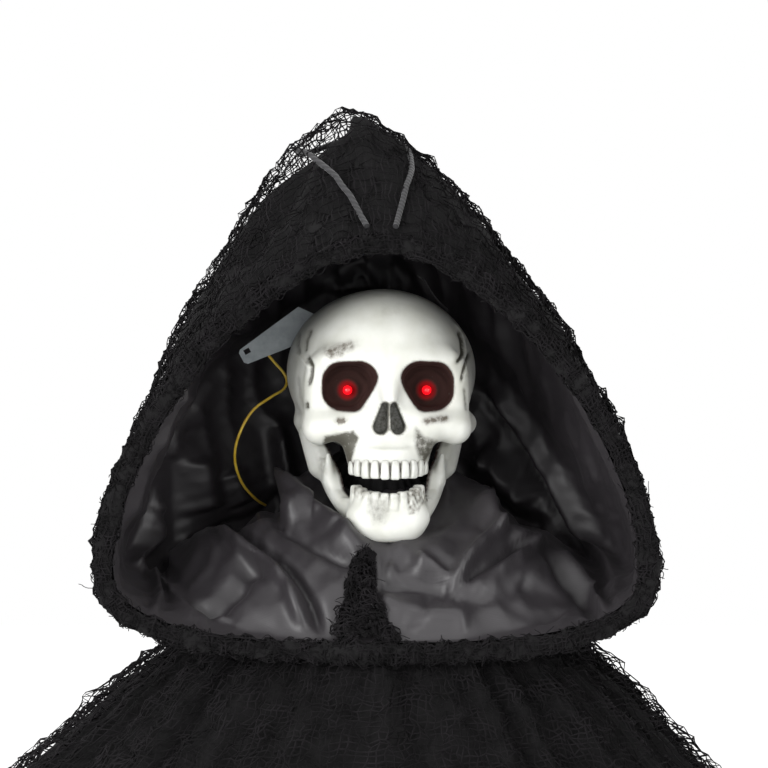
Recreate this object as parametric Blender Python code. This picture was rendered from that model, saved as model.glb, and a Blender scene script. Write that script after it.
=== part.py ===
"""A hooded reaper bust: a moulded skull with lamp eyes in a wide gauze hood, on cloth shoulders.

Run it with: blender --background --python part.py
Metres, +Z up. The face looks along -Y. The origin is the middle of the flat underside.
"""

import math

import bmesh
import bpy
import numpy as np
import openvdb
from mathutils import Matrix, Vector

MM = 0.001

# Driving dimensions of the skull. Its forms are laid out on a head of 140 units from crown to chin.
SKULL_HEIGHT = 140 * MM
SKULL_CENTRE_HEIGHT = 232 * MM
SKULL_YAW = math.radians(4.0)
SKULL_NOD = math.radians(0.5)
UNIT = SKULL_HEIGHT / 140

# The head and hood sit this far to one side of the middle of the shoulders.
HEAD_ASIDE = 12 * MM

# Driving dimensions of the hood. Its rise, drop and reach are measured from the middle of the skull.
HOOD_OPENING_WIDTH = 294 * MM
HOOD_PEAK_RISE = 152 * MM
HOOD_DROP = 143 * MM
HOOD_FRONT_REACH = 98 * MM
HOOD_BACK_ROOM = 27 * MM
HOOD_WALL = 4 * MM
HEM_SWELL = 4 * MM
HEM_LENGTH = 13 * MM
LINING_THICKNESS = 1.2 * MM

# Driving dimensions of the robe.
SHOULDER_WIDTH = 420 * MM
SHOULDER_DEPTH = 214 * MM
ROBE_FOLD_DEPTH = 4 * MM
NECK_RADIUS = 23 * MM

# Small parts.
LAMP_DIAMETER = 5 * MM
LAMP_LENGTH = 8.6 * MM
LAMP_SEAT_DEPTH = 4.2 * MM
STRIP_LENGTH = 52 * MM
STRIP_END_WIDTH = 9.2 * MM
STRIP_ROOT_WIDTH = 22.5 * MM
STRIP_THICKNESS = 1.6 * MM
STRIP_HOLE = 3.6 * MM
LOOP_CORD_DIAMETER = 3.2 * MM
LEAD_DIAMETER = 1.6 * MM

# Gap between pieces that touch.
SEAT_GAP = 0.3 * MM


def clear_scene():
    for old in list(bpy.data.objects):
        bpy.data.objects.remove(old, do_unlink=True)


def material(name, colour, roughness, metallic=0.0):
    made = bpy.data.materials.new(name)
    made.use_nodes = True
    shader = made.node_tree.nodes["Principled BSDF"]
    shader.inputs["Base Color"].default_value = (*colour, 1.0)
    shader.inputs["Roughness"].default_value = roughness
    shader.inputs["Metallic"].default_value = metallic
    made.diffuse_color = (*colour, 1.0)
    return made


def add_object(name, mesh, finish=None):
    made = bpy.data.objects.new(name, mesh)
    bpy.context.scene.collection.objects.link(made)
    if finish:
        mesh.materials.append(finish)
    return made


def mesh_of(name, points, faces):
    mesh = bpy.data.meshes.new(name)
    mesh.from_pydata([tuple(p) for p in points], [], [tuple(f) for f in faces])
    mesh.update()
    return mesh


# Clay: a form is a field that is negative inside it, and fields blend softly where they meet.


def ellipsoid(p, centre, radii):
    q = p - np.array(centre)
    radii = np.array(radii)
    near = np.linalg.norm(q / radii, axis=-1)
    slope = np.linalg.norm(q / radii**2, axis=-1)
    return near * (near - 1.0) / np.maximum(slope, 1e-6)


def limb(p, start, end, start_radius, end_radius):
    """A rod with round ends whose radius changes evenly from one end to the other."""
    start = np.array(start, float)
    along = np.array(end, float) - start
    t = np.clip(((p - start) @ along) / (along @ along), 0.0, 1.0)
    return np.linalg.norm(p - start - t[..., None] * along, axis=-1) - (
        start_radius + (end_radius - start_radius) * t
    )


def blend(a, b, soft):
    """Both forms, with a fillet about as wide as soft between them."""
    h = np.clip(0.5 + 0.5 * (b - a) / soft, 0.0, 1.0)
    return b + (a - b) * h - soft * h * (1.0 - h)


def carve(a, b, soft):
    """The first form with the second cut away, and the cut's edge rounded."""
    return -blend(-a, b, soft)


def mirrored(p):
    return np.stack([np.abs(p[..., 0]), p[..., 1], p[..., 2]], axis=-1)


def tooth_row(p, arch_width, arch_depth, arch_back, count, gum, tip, side_tip, taper):
    """Teeth side by side on a horseshoe arch, longest in the middle."""
    field = np.full(p.shape[:-1], 1e3)
    spread = math.radians(74)
    width = arch_width * 2 * spread / count * 0.97
    for i in range(count):
        angle = spread * ((i + 0.5) / count * 2 - 1)
        centre = np.array([arch_width * math.sin(angle), arch_back - arch_depth * math.cos(angle)])
        out = np.array([math.sin(angle) / arch_width, -math.cos(angle) / arch_depth])
        out = out / np.linalg.norm(out)
        side = np.array([-out[1], out[0]])
        low = tip + (side_tip - tip) * (1 - math.cos(angle)) * 1.3
        flat = p[..., :2] - centre
        height = (p[..., 2] - low) / (gum - low)
        half_width = width / 2 * (1 - taper * np.clip(height, 0, 1))
        box = np.stack(
            [
                np.abs(flat @ side) - half_width + 1.3,
                np.abs(flat @ out) - 2.9 + 1.3,
                np.abs(p[..., 2] - (gum + low) / 2) - abs(gum - low) / 2 + 1.3,
            ],
            axis=-1,
        )
        tooth = np.linalg.norm(np.maximum(box, 0), axis=-1) + np.minimum(box.max(axis=-1), 0) - 1.3
        field = np.minimum(field, tooth)
    return field


LAMP_Z = -2.0
EYE_X = 21.7
EYE_HALF_WIDTH = 15.0
EYE_HALF_HEIGHT = 13.3
EYE_FLOOR_Y = -39.0


def eye_socket(m):
    """A rounded square that narrows towards its floor, with its lower inner corner cut across."""
    depth = np.clip((m[..., 1] + 58.0) / 24.0, -0.4, 1.2)
    size = 1.0 - 0.22 * depth
    u = (m[..., 0] - EYE_X) / size
    w = m[..., 2] / size
    box = np.stack([np.abs(u) - EYE_HALF_WIDTH + 10.5, np.abs(w) - EYE_HALF_HEIGHT + 10.5], axis=-1)
    outline = np.linalg.norm(np.maximum(box, 0), axis=-1) + np.minimum(box.max(axis=-1), 0) - 10.5
    corner = (-0.84 * u - 0.54 * w) - 11.8
    outline = -blend(-outline, -corner, 4.0)
    floor = m[..., 1] - EYE_FLOOR_Y
    return -blend(-outline * size, -floor, 3.0)


def nose_opening(m):
    start, end = np.array([2.3, -10.4]), np.array([4.7, -21.6])
    along = end - start
    flat = m[..., [0, 2]]
    t = np.clip(((flat - start) @ along) / (along @ along), 0.0, 1.0)
    outline = np.linalg.norm(flat - start - t[..., None] * along, axis=-1) - (1.9 + 2.2 * t)
    return np.maximum(outline, m[..., 1] + 46.0)


def arch_band(p, width, depth, back, thickness, low, high):
    """The ridge of bone that a row of teeth stands in: a horseshoe of even thickness between two heights."""
    flat = np.stack([p[..., 0] / width, (p[..., 1] - back) / depth], axis=-1)
    outline = (np.linalg.norm(flat, axis=-1) - 1.0) * min(width, depth)
    wall = np.abs(outline + thickness / 2) - thickness / 2
    slab = np.abs(p[..., 2] - (low + high) / 2) - (high - low) / 2
    box = np.stack([wall + 1.5, slab + 1.5], axis=-1)
    band = np.linalg.norm(np.maximum(box, 0), axis=-1) + np.minimum(box.max(axis=-1), 0) - 1.5
    return np.maximum(band, p[..., 1] - back - 6.0)


def skull_field(p):
    """The skull without its jaw. The face looks along -Y and the middle of the head is at 0."""
    m = mirrored(p)
    d = ellipsoid(p, (0, 8, 8), (53, 57, 46))
    d = blend(d, ellipsoid(p, (0, -20, 15), (42, 39, 36)), 12)
    d = blend(d, ellipsoid(m, (33, -20, -2), (14, 24, 22)), 9)
    d = blend(d, ellipsoid(m, (22, -31, 0), (20, 20, 25)), 8)
    d = blend(d, ellipsoid(p, (0, -37, -22), (23, 24, 23)), 9)
    d = blend(d, limb(m, (5, -53.5, 14.5), (33, -46, 15), 4.2, 4.6), 8)
    d = blend(d, limb(m, (38.5, -41, 10), (38.5, -39, -14), 4.4, 6.0), 7)
    d = blend(d, limb(m, (15, -52, -19.5), (37, -43.5, -22.5), 7.0, 8.8), 6)
    for side, arch in ((1, 44.5), (-1, 40.0)):
        d = blend(d, limb(p, (side * 37, -40, -22.5), (side * arch, -20, -20.5), 8.2, 5.6), 4)
        d = blend(d, limb(p, (side * arch, -20, -20.5), (side * (arch - 1), 6, -14), 5.6, 4.5), 4)
    d = blend(d, limb(m, (19, -48, -24), (15, -47, -38), 7.5, 6.5), 7)
    d = blend(d, limb(p, (0, -55, 6), (0, -61.5, -7), 5.2, 3.4), 7)
    d = blend(d, limb(m, (41, 10, -20), (38, 6, -34), 8.0, 4.0), 6)
    d = carve(d, ellipsoid(m, (31, -40, -41), (10.5, 24, 10.5)), 3)
    d = carve(d, ellipsoid(p, (0, -28, -57), (14, 26, 14)), 3)
    d = carve(d, eye_socket(m), 1.8)
    d = carve(d, nose_opening(m), 1.2)
    d = blend(d, arch_band(p, 20.5, 22.5, -41.0, 7.5, -47.0, -34.0), 4)
    teeth = tooth_row(p, 20.0, 21.5, -41.0, 10, -39.5, -50.2, -47.6, 0.25)
    return blend(d, teeth, 0.9)


def jaw_arch(p):
    """Signed reach outwards from a horseshoe in plan that closes towards the chin."""
    half_width = 36.5 + np.maximum(p[..., 2] + 51.0, 0.0) * 0.2
    x = np.abs(p[..., 0])
    y = np.minimum(p[..., 1] - 5.0, 0.0)
    size = ((x / half_width) ** 1.7 + (-y / 63.0) ** 1.7) ** (1 / 1.7)
    reach = np.hypot(x, y)
    return reach - reach / np.maximum(size, 1e-6)


def jaw_field(p):
    """The open lower jaw, cut back where it would touch the skull."""
    m = mirrored(p)
    y, z = p[..., 1], p[..., 2]
    lower = np.interp(y, (-60, -53, -48, -42, -32, -15, 0, 8), (-82.5, -82, -81, -78, -71.5, -61, -51, -46))
    upper = np.interp(y, (-60, -33, -26, -20, -16, -12, -8, 8), (-61, -61, -57, -46, -41, -40, -34, -27))
    wall = np.abs(jaw_arch(p) + 4.2) - 4.2
    d = carve(wall, (upper - z) * 0.8, 3.0)
    d = carve(d, (z - lower) * 0.8, 5.0)
    d = carve(d, 4.0 - y, 4.0)
    d = blend(d, limb(m, (30, -19, -52), (31.5, -25, -38), 4.0, 1.3), 4)
    d = blend(d, limb(m, (36, -3, -45), (42, 3, -26), 5.6, 4.6), 5)
    d = blend(d, ellipsoid(m, (8, -48.5, -71), (15, 10.5, 11.5)), 6)
    d = blend(d, limb(m, (0, -55.5, -77.5), (11, -53, -77.5), 4.6, 4.0), 8)
    teeth = tooth_row(p, 18.6, 21.0, -36.5, 10, -67.0, -57.6, -52.6, 0.15)
    d = blend(d, teeth, 1.2)
    return np.maximum(d, 0.6 - skull_field(p))


def mesh_from_field(name, field, low, high, voxel, level=0.0):
    """Reads the field on a grid and wraps its surface in quads. The result is in layout units."""
    counts = [int(math.ceil((b - a) / voxel)) + 1 for a, b in zip(low, high)]
    axes = [a + voxel * np.arange(n) for a, n in zip(low, counts)]
    values = np.empty(counts, np.float32)
    for i, x in enumerate(axes[0]):
        y, z = np.meshgrid(axes[1], axes[2], indexing="ij")
        values[i] = field(np.stack([np.full_like(y, x), y, z], axis=-1))
    grid = openvdb.FloatGrid(1000.0)
    grid.copyFromArray(values)
    points, quads = grid.convertToQuads(isovalue=level)
    points = np.array(low) + np.array(points) * voxel
    return mesh_of(name, points, quads)


def head_matrix():
    """From the skull's layout to its place: its size, its nod, its turn and its height."""
    turn = Matrix.Rotation(SKULL_YAW, 4, "Z") @ Matrix.Rotation(SKULL_NOD, 4, "X")
    return Matrix.Translation((HEAD_ASIDE, 0, SKULL_CENTRE_HEIGHT)) @ turn @ Matrix.Scale(UNIT, 4)


def reduce_faces(thing, triangles):
    thing.data.calc_loop_triangles()
    thinner = thing.modifiers.new("fewer faces", "DECIMATE")
    thinner.ratio = triangles / len(thing.data.loop_triangles)
    thinner.use_collapse_triangulate = True


def add_skull(finish):
    """The skull, with a blind hole in each socket's floor for its lamp."""
    mesh = mesh_from_field("skull", skull_field, (-60, -76, -60), (60, 72, 60), 1.3)
    mesh.transform(head_matrix())
    skull = add_object("skull", mesh, finish)
    reduce_faces(skull, 1930)
    for side in (-1, 1):
        place = head_matrix() @ Vector((side * EYE_X, EYE_FLOOR_Y, LAMP_Z))
        drill = turned("lamp hole", [(-4 * MM, LAMP_DIAMETER / 2 + SEAT_GAP), (LAMP_SEAT_DEPTH + SEAT_GAP, LAMP_DIAMETER / 2 + SEAT_GAP)], 16)
        drill.transform(Matrix.Translation(place) @ face_turn())
        cut(skull, cutter("lamp hole", drill))
    mesh.shade_smooth()
    return skull


def add_jaw(finish):
    mesh = mesh_from_field("jaw", jaw_field, (-54, -70, -92), (54, 14, -16), 1.3)
    mesh.transform(head_matrix())
    jaw = add_object("jaw", mesh, finish)
    reduce_faces(jaw, 820)
    mesh.shade_smooth()
    return jaw


def face_turn():
    """The skull's turn without its size: local +Y goes into the head."""
    return (Matrix.Rotation(SKULL_YAW, 4, "Z") @ Matrix.Rotation(SKULL_NOD, 4, "X")).to_4x4()


def turned(name, profile, sides):
    """A solid of revolution about Y from (y, radius) pairs, closed by flat ends."""
    points, faces = [], []
    for y, radius in profile:
        for i in range(sides):
            angle = math.tau * i / sides
            points.append((radius * math.cos(angle), y, radius * math.sin(angle)))
    for k in range(len(profile) - 1):
        for i in range(sides):
            j = (i + 1) % sides
            faces.append((k * sides + i, k * sides + j, (k + 1) * sides + j, (k + 1) * sides + i))
    faces.append(tuple(range(sides - 1, -1, -1)))
    last = (len(profile) - 1) * sides
    faces.append(tuple(last + i for i in range(sides)))
    mesh = mesh_of(name, points, faces)
    point_outwards(mesh)
    return mesh


def point_outwards(mesh):
    work = bmesh.new()
    work.from_mesh(mesh)
    bmesh.ops.recalc_face_normals(work, faces=work.faces)
    work.to_mesh(mesh)
    work.free()


def cutter(name, mesh):
    made = add_object(name, mesh)
    made.hide_render = True
    made.display_type = "WIRE"
    return made


def cut(thing, tool):
    modifier = thing.modifiers.new(tool.name, "BOOLEAN")
    modifier.operation = "DIFFERENCE"
    modifier.solver = "EXACT"
    modifier.object = tool


def add_lamps(finish):
    """Round-nosed lamps that stand in the floors of the eye sockets and look out of them."""
    radius = LAMP_DIAMETER / 2
    tip = LAMP_SEAT_DEPTH - LAMP_LENGTH
    for side, name in ((-1, "eye_lamp_left"), (1, "eye_lamp_right")):
        profile = sorted((tip + radius * (1 - math.cos(a)), radius * math.sin(a)) for a in (math.radians(d) for d in (12, 35, 60, 90)))
        profile.append((LAMP_SEAT_DEPTH, radius))
        mesh = turned(name, profile, 12)
        place = head_matrix() @ Vector((side * EYE_X, EYE_FLOOR_Y, LAMP_Z))
        mesh.transform(Matrix.Translation(place) @ face_turn())
        lamp = add_object(name, mesh, finish)
        mesh.shade_smooth()
        mesh.set_sharp_from_angle(angle=math.radians(40))


# Cloth. The hood is a run of upright sections from its opening to the back of the head.
# Each row holds shares of the driving sizes: how far forward (negative) or back its top and its bottom are,
# its half width to the left and right, the height of its top, of its widest place and of its underside,
# how square its upper left, upper right and lower corners are, and how far its peak leans.
HOOD_SECTIONS = (
    (-0.80, -1.00, 1.02, 0.98, 0.513, -0.65, -1.000, 1.62, 1.62, 2.8, 0.00),
    (-0.46, -0.58, 1.03, 1.00, 0.810, -0.65, -0.955, 1.50, 1.46, 2.9, -0.04),
    (-0.04, -0.06, 1.02, 1.00, 1.000, -0.63, -0.880, 1.42, 1.35, 2.8, -0.115),
    (0.52, 0.50, 0.82, 0.80, 0.770, -0.56, -0.820, 1.60, 1.60, 2.6, -0.09),
    (0.86, 0.84, 0.51, 0.50, 0.400, -0.42, -0.760, 1.90, 1.90, 2.2, -0.04),
    (1.00, 1.00, 0.12, 0.12, 0.030, -0.14, -0.300, 2.00, 2.00, 2.0, 0.00),
)


def smooth_rows(rows, t):
    """Reads a smooth curve through evenly spaced rows of numbers, with t from 0 to 1."""
    rows = np.array(rows)
    place = min(max(t, 0.0), 1.0) * (len(rows) - 1)
    i = min(int(place), len(rows) - 2)
    f = place - i
    a, b = rows[i], rows[i + 1]
    before = rows[i - 1] if i > 0 else 2 * a - b
    after = rows[i + 2] if i + 2 < len(rows) else 2 * b - a
    return 0.5 * (2 * a + (b - before) * f + (2 * before - 5 * a + 4 * b - after) * f**2 + (3 * a - before - 3 * b + after) * f**3)


def hood_section(t, around):
    """One closed section of the hood, as points from the lowest point round the right side to the peak and back down.

    The steps are even on each side, so that one line of points always runs along the peak.
    """
    (y_top, y_low, left, right, top, wide, low, n_left, n_right, n_low, lean) = smooth_rows(HOOD_SECTIONS, t)
    back = 65 * UNIT + HOOD_BACK_ROOM
    half = HOOD_OPENING_WIDTH / 2
    top *= HOOD_PEAK_RISE
    wide *= HOOD_DROP
    low *= HOOD_DROP
    angle = np.linspace(0, math.tau, 721)[:-1] - math.pi / 2
    c, s = np.cos(angle), np.sin(angle)
    power = np.where(s < 0, n_low, np.where(c < 0, n_left, n_right))
    share = np.abs(s) ** (2 / power)
    x = np.where(c < 0, -left, right) * half * np.abs(c) ** (2 / power)
    z = np.where(s < 0, wide + (low - wide) * share, wide + (top - wide) * share)
    x = x + np.where(s > 0, lean * half * share**2.5, 0.0)
    slope = (z - low) / (top - low)
    y = y_low + (y_top - y_low) * slope
    y = np.where(y < 0, y * HOOD_FRONT_REACH, y * back)
    points = np.stack([x + HEAD_ASIDE, y, z + SKULL_CENTRE_HEIGHT], axis=-1)
    closed = np.vstack([points, points[:1]])
    sides = []
    for side in (closed[:361], closed[360:]):
        run = np.concatenate([[0], np.cumsum(np.linalg.norm(np.diff(side, axis=0), axis=-1))])
        places = np.linspace(0, run[-1], around // 2 + 1)[:-1]
        sides.append(np.stack([np.interp(places, run, side[:, k]) for k in range(3)], axis=-1))
    return np.vstack(sides)


def hood_grid(around, places):
    """The hood's outer face as rings of points, with the outward direction and the distance from the opening of each."""
    rings = np.array([hood_section(t, around) for t in places])
    along = np.gradient(rings, axis=0)
    across = (np.roll(rings, -1, axis=1) - np.roll(rings, 1, axis=1)) / 2
    out = np.cross(along, across)
    out /= np.maximum(np.linalg.norm(out, axis=-1, keepdims=True), 1e-12)
    middle = rings.mean(axis=(0, 1))
    if ((rings - middle) * out).sum(axis=-1).mean() < 0:
        out = -out
    if places[-1] == 1.0:
        out[-1] = (0, 1, 0)
    steps = np.linalg.norm(np.diff(rings, axis=0), axis=-1)
    run = np.concatenate([np.zeros((1, around)), np.cumsum(steps, axis=0)])
    return rings, out, run


def shell_mesh(name, outer, hem, inner):
    """A closed skin over rings of points that come forward on the outer face and go back on the inner one.

    Both faces are split along the same diagonals, so that shells inside each other stay apart.
    """
    rings = list(outer[::-1]) + list(hem) + list(inner)
    count, around = len(rings), len(rings[0])
    points = [tuple(p) for ring in rings for p in ring]
    faces = []
    for k in range(count - 1):
        for i in range(around):
            j = (i + 1) % around
            a, b, c, d = k * around + i, k * around + j, (k + 1) * around + j, (k + 1) * around + i
            faces += [(a, b, d), (b, c, d)] if k < len(outer) - 1 else [(a, b, c), (a, c, d)]
    faces.append(tuple(range(around)))
    last = (count - 1) * around
    faces.append(tuple(last + i for i in range(around)))
    mesh = mesh_of(name, points, faces)
    point_outwards(mesh)
    return mesh


AROUND = 36
HOOD_PLACES = (0.0, 0.06, 0.14, 0.26, 0.40, 0.53, 0.67, 0.81, 0.93, 1.0)


def add_hood(finish):
    """The outer hood: one wall thick, closed at the back, with a rolled hem round its opening."""
    rings, out, run = hood_grid(AROUND, HOOD_PLACES)
    swell = HEM_SWELL * np.exp(-((run / HEM_LENGTH) ** 2))[..., None]
    outer = rings + out * (swell - HEM_SWELL * 0.4)
    inner = rings - out * (HOOD_WALL + swell * 0.5)
    forward = rings[0] - rings[1]
    forward /= np.linalg.norm(forward, axis=-1, keepdims=True)
    middle, half = (outer[0] + inner[0]) / 2, (outer[0] - inner[0]) / 2
    lip = np.linalg.norm(half, axis=-1, keepdims=True)
    hem = [middle + half * math.cos(a) + forward * lip * math.sin(a) for a in (math.radians(d) for d in (45, 90, 135))]
    mesh = shell_mesh("hood", outer, hem, inner)
    hood = add_object("hood", mesh, finish)
    mesh.shade_smooth()
    return hood


def add_lining(finish):
    """A thin satin skin that covers the inside of the hood from behind the hem to the back."""
    rings, out, run = hood_grid(AROUND, HOOD_PLACES)
    swell = HEM_SWELL * np.exp(-((run / HEM_LENGTH) ** 2))[..., None]
    face = HOOD_WALL + swell * 0.5 + SEAT_GAP * 1.3
    outer = (rings - out * face)[1:]
    inner = (rings - out * (face + LINING_THICKNESS))[1:]
    mesh = shell_mesh("hood_lining", outer, [], inner)
    lining = add_object("hood_lining", mesh, finish)
    mesh.shade_smooth()
    return lining


# The robe is a run of level sections from the flat cut up to the neck. Inside the hood it is the mound of cloth
# that the lining lies on, drawn up to the neck, and low under the jaw.
# Each row holds the height as a share of the hem's height, and as shares the half width, the reach to the front
# and the reach to the back, where the cloth is fuller and carries the hood. Above the hem the rows follow the
# hood's drop instead, so that the mound keeps clear of the jaw at any height of the skull.
ROBE_SECTIONS = (
    (0.00, 1.000, 1.000, 1.000),
    (0.21, 0.920, 0.985, 0.990),
    (0.50, 0.790, 0.960, 0.970),
    (0.74, 0.690, 0.930, 0.950),
    (0.93, 0.590, 0.880, 0.920),
    (1.12, 0.495, 0.780, 0.860),
    (1.29, 0.495, 0.700, 0.780),
    (1.46, 0.470, 0.590, 0.680),
    (1.63, 0.395, 0.430, 0.590),
    (1.78, 0.305, 0.095, 0.500),
    (1.93, 0.205, 0.055, 0.400),
)
MOUND_RISE = HOOD_DROP * 0.622378
ROBE_AROUND = 64
ROBE_FOLDS = 16


def skull_base(x, y):
    """Height of the underside of the brain case in the skull's layout."""
    return 8.0 - 46.0 * math.sqrt(1.0 - (x / 53.0) ** 2 - ((y - 8.0) / 57.0) ** 2)


def robe_mesh(name, grow):
    """The cloth over the shoulders with its upright folds, gathered in to the neck that the skull sits on."""
    hem = SKULL_CENTRE_HEIGHT - HOOD_DROP
    rings = []
    for height, wide, front, back in ROBE_SECTIONS:
        ring = []
        for i in range(ROBE_AROUND):
            angle = math.tau * i / ROBE_AROUND
            c, s = math.cos(angle), math.sin(angle)
            fold = ROBE_FOLD_DEPTH * (math.cos(ROBE_FOLDS * angle + 1.1 * math.sin(3 * angle)) - 1) / 2 + grow
            x = math.copysign(abs(c) ** (2 / 2.3), c) * wide * SHOULDER_WIDTH / 2 + c * fold
            y = math.copysign(abs(s) ** (2 / 2.3), s) * (back if s > 0 else front) * SHOULDER_DEPTH / 2 + s * fold
            aside = HEAD_ASIDE * min(1.0, height / 1.3)
            z = min(height, 1.0) * hem + max(height - 1.0, 0.0) * MOUND_RISE
            ring.append((x + aside, y, z + (grow if rings else -grow)))
        rings.append(ring)
    seat = head_matrix()
    for share, drop in ((1.0, 12 * UNIT), (1.0, 0.0), (0.62, 0.0), (0.24, 0.0)):
        ring = []
        for i in range(ROBE_AROUND):
            angle = math.tau * i / ROBE_AROUND
            x, y = (r * (NECK_RADIUS + grow) * share / UNIT for r in (math.cos(angle), math.sin(angle)))
            place = seat @ Vector((x, y + 14, skull_base(x, y + 14) - 0.9 + grow / UNIT))
            ring.append((place.x, place.y, place.z - drop))
        rings.append(ring)
    points = [point for ring in rings for point in ring]
    faces = []
    for k in range(len(rings) - 1):
        for i in range(ROBE_AROUND):
            j = (i + 1) % ROBE_AROUND
            faces.append((k * ROBE_AROUND + i, k * ROBE_AROUND + j, (k + 1) * ROBE_AROUND + j, (k + 1) * ROBE_AROUND + i))
    faces.append(tuple(range(ROBE_AROUND)))
    last = (len(rings) - 1) * ROBE_AROUND
    faces.append(tuple(last + i for i in range(ROBE_AROUND)))
    mesh = mesh_of(name, points, faces)
    point_outwards(mesh)
    return mesh


def add_robe(finish):
    robe = add_object("robe", robe_mesh("robe", 0.0), finish)
    robe.data.shade_smooth()
    robe.data.set_sharp_from_angle(angle=math.radians(60))
    return robe


def add_strip(finish):
    """A flat strip that widens from its free end, with a square hole there, to where it meets the skull's side."""
    length, end, root = STRIP_LENGTH, STRIP_END_WIDTH / 2, STRIP_ROOT_WIDTH / 2
    nip = 1.6 * MM
    outline = [(nip, end), (0, end - nip), (0, -end + nip), (nip, -end)]
    outline += [(length, -root), (length, -root * 0.3), (length * 0.81, root * 0.87)]
    work = bmesh.new()
    near = [work.verts.new((x, -STRIP_THICKNESS / 2, z)) for x, z in outline]
    face = work.faces.new(near)
    grown = bmesh.ops.extrude_face_region(work, geom=[face])
    bmesh.ops.translate(
        work, vec=(0, STRIP_THICKNESS, 0), verts=[g for g in grown["geom"] if isinstance(g, bmesh.types.BMVert)]
    )
    bmesh.ops.recalc_face_normals(work, faces=work.faces)
    mesh = bpy.data.meshes.new("grey_strip")
    work.to_mesh(mesh)
    place = (
        Matrix.Translation((HEAD_ASIDE - 79.6 * UNIT, 22 * UNIT, SKULL_CENTRE_HEIGHT + 15.7 * UNIT))
        @ Matrix.Rotation(math.radians(-29), 4, "Y")
    )
    mesh.transform(place)
    strip = add_object("grey_strip", mesh, finish)
    work.clear()
    bmesh.ops.create_cube(work, size=1.0)
    bmesh.ops.scale(work, vec=(STRIP_HOLE, STRIP_THICKNESS * 3, STRIP_HOLE * 0.8), verts=work.verts)
    hole = bpy.data.meshes.new("strip hole")
    work.to_mesh(hole)
    work.free()
    hole.transform(place @ Matrix.Translation((STRIP_END_WIDTH * 0.5, 0, STRIP_END_WIDTH * 0.2)))
    cut(strip, cutter("strip hole", hole))
    return strip


def smooth_path(points, count):
    """Evenly counted places along a smooth curve through the given points."""
    return [smooth_rows(points, i / (count - 1)) for i in range(count)]


def add_cord(name, points, diameter, finish):
    curve = bpy.data.curves.new(name, "CURVE")
    curve.dimensions = "3D"
    curve.bevel_depth = diameter / 2
    curve.bevel_resolution = 2
    curve.use_fill_caps = True
    line = curve.splines.new("POLY")
    line.points.add(len(points) - 1)
    for point, place in zip(line.points, points):
        point.co = (*place, 1.0)
    curve.materials.append(finish)
    made = bpy.data.objects.new(name, curve)
    bpy.context.scene.collection.objects.link(made)
    return made


# Places of the hanging loop on the hood: how far back, and how far round from the lowest point.
LOOP_ROUTE = (
    (0.030, 0.5080),
    (0.15, 0.5200),
    (0.29, 0.5340),
    (0.40, 0.5420),
    (0.47, 0.5320),
    (0.50, 0.5050),
    (0.49, 0.4800),
    (0.42, 0.4620),
    (0.30, 0.4660),
    (0.15, 0.4790),
    (0.030, 0.4900),
)


# Places of the lamps' lead, from the middle of the skull: it comes from behind the strip, turns at the side
# of the skull, hangs in a bow and goes back into the cloth behind.
LEAD_ROUTE = (
    (-65, 25.5, 18),
    (-60.5, 27.5, 12.5),
    (-56.5, 29, 8),
    (-54.2, 29.5, 3),
    (-56.0, 26, -2),
    (-63.0, 18.5, -6.5),
    (-73, 13.5, -14),
    (-80.5, 15, -27),
    (-83.5, 21, -41),
    (-80, 31, -55),
    (-72.5, 45, -65),
    (-67.5, 58, -69),
)


def add_lead(finish):
    middle = np.array([HEAD_ASIDE, 0, SKULL_CENTRE_HEIGHT])
    points = [middle + point * UNIT for point in smooth_path(LEAD_ROUTE, 31)]
    return add_cord("lamp_lead", points, LEAD_DIAMETER, finish)


def add_loop(finish):
    """The cord that hangs the figure up: from the hem it runs over the hood and round behind its peak."""
    count = 26
    route = smooth_path(LOOP_ROUTE, count)
    around = 720
    points = []
    for t, share in route:
        rings, out, run = hood_grid(around, (max(t - 0.01, 0.0), t, t + 0.01))
        i = int(round(share * around)) % around
        swell = HEM_SWELL * math.exp(-((np.linalg.norm(rings[1][i] - hood_section(0.0, around)[i]) / HEM_LENGTH) ** 2))
        lift = swell - HEM_SWELL * 0.4 + LOOP_CORD_DIAMETER / 2 + SEAT_GAP
        points.append(rings[1][i] + out[1][i] * lift)
    return add_cord("hang_loop", points, LOOP_CORD_DIAMETER, finish)


def build():
    clear_scene()
    bone = material("cast plastic bone", (0.80, 0.81, 0.77), 0.45)
    gauze = material("black gauze", (0.012, 0.012, 0.013), 0.95)
    satin = material("black satin", (0.016, 0.016, 0.018), 0.42)
    red = material("red lamp", (0.75, 0.02, 0.03), 0.15)
    grey = material("grey strip", (0.16, 0.18, 0.19), 0.5)
    dark = material("dark cord", (0.03, 0.03, 0.032), 0.8)
    yellow = material("yellow lead", (0.62, 0.50, 0.06), 0.4)
    add_skull(bone)
    add_jaw(bone)
    add_lamps(red)
    hood = add_hood(gauze)
    lining = add_lining(satin)
    robe = add_robe(gauze)
    grown = cutter("room for the robe", robe_mesh("room for the robe", SEAT_GAP))
    cut(hood, grown)
    cut(lining, grown)
    strip = add_strip(grey)
    room = mesh_from_field("room for the skull", skull_field, (-60, -76, -60), (60, 72, 60), 2.0, 1.0)
    room.transform(head_matrix())
    head_room = cutter("room for the skull", room)
    cut(strip, head_room)
    add_loop(dark)
    add_lead(yellow)


build()
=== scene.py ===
# %% [markdown]
# # A hooded reaper bust
# The real thing is a hanging decoration: a moulded plastic skull with two red lamps in its eyes, in a wide hood
# of black satin covered with loose black gauze. Here it is a bust, cut flat below the shoulders.
# The skull's forms, the hood and the robe come from the same named values as the solid model, so every visible
# piece lies where its solid is.

# %% Load the solid model as a fixed frame
import math

import bpy
import numpy as np
import openvdb
from mathutils import Matrix, Vector


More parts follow.
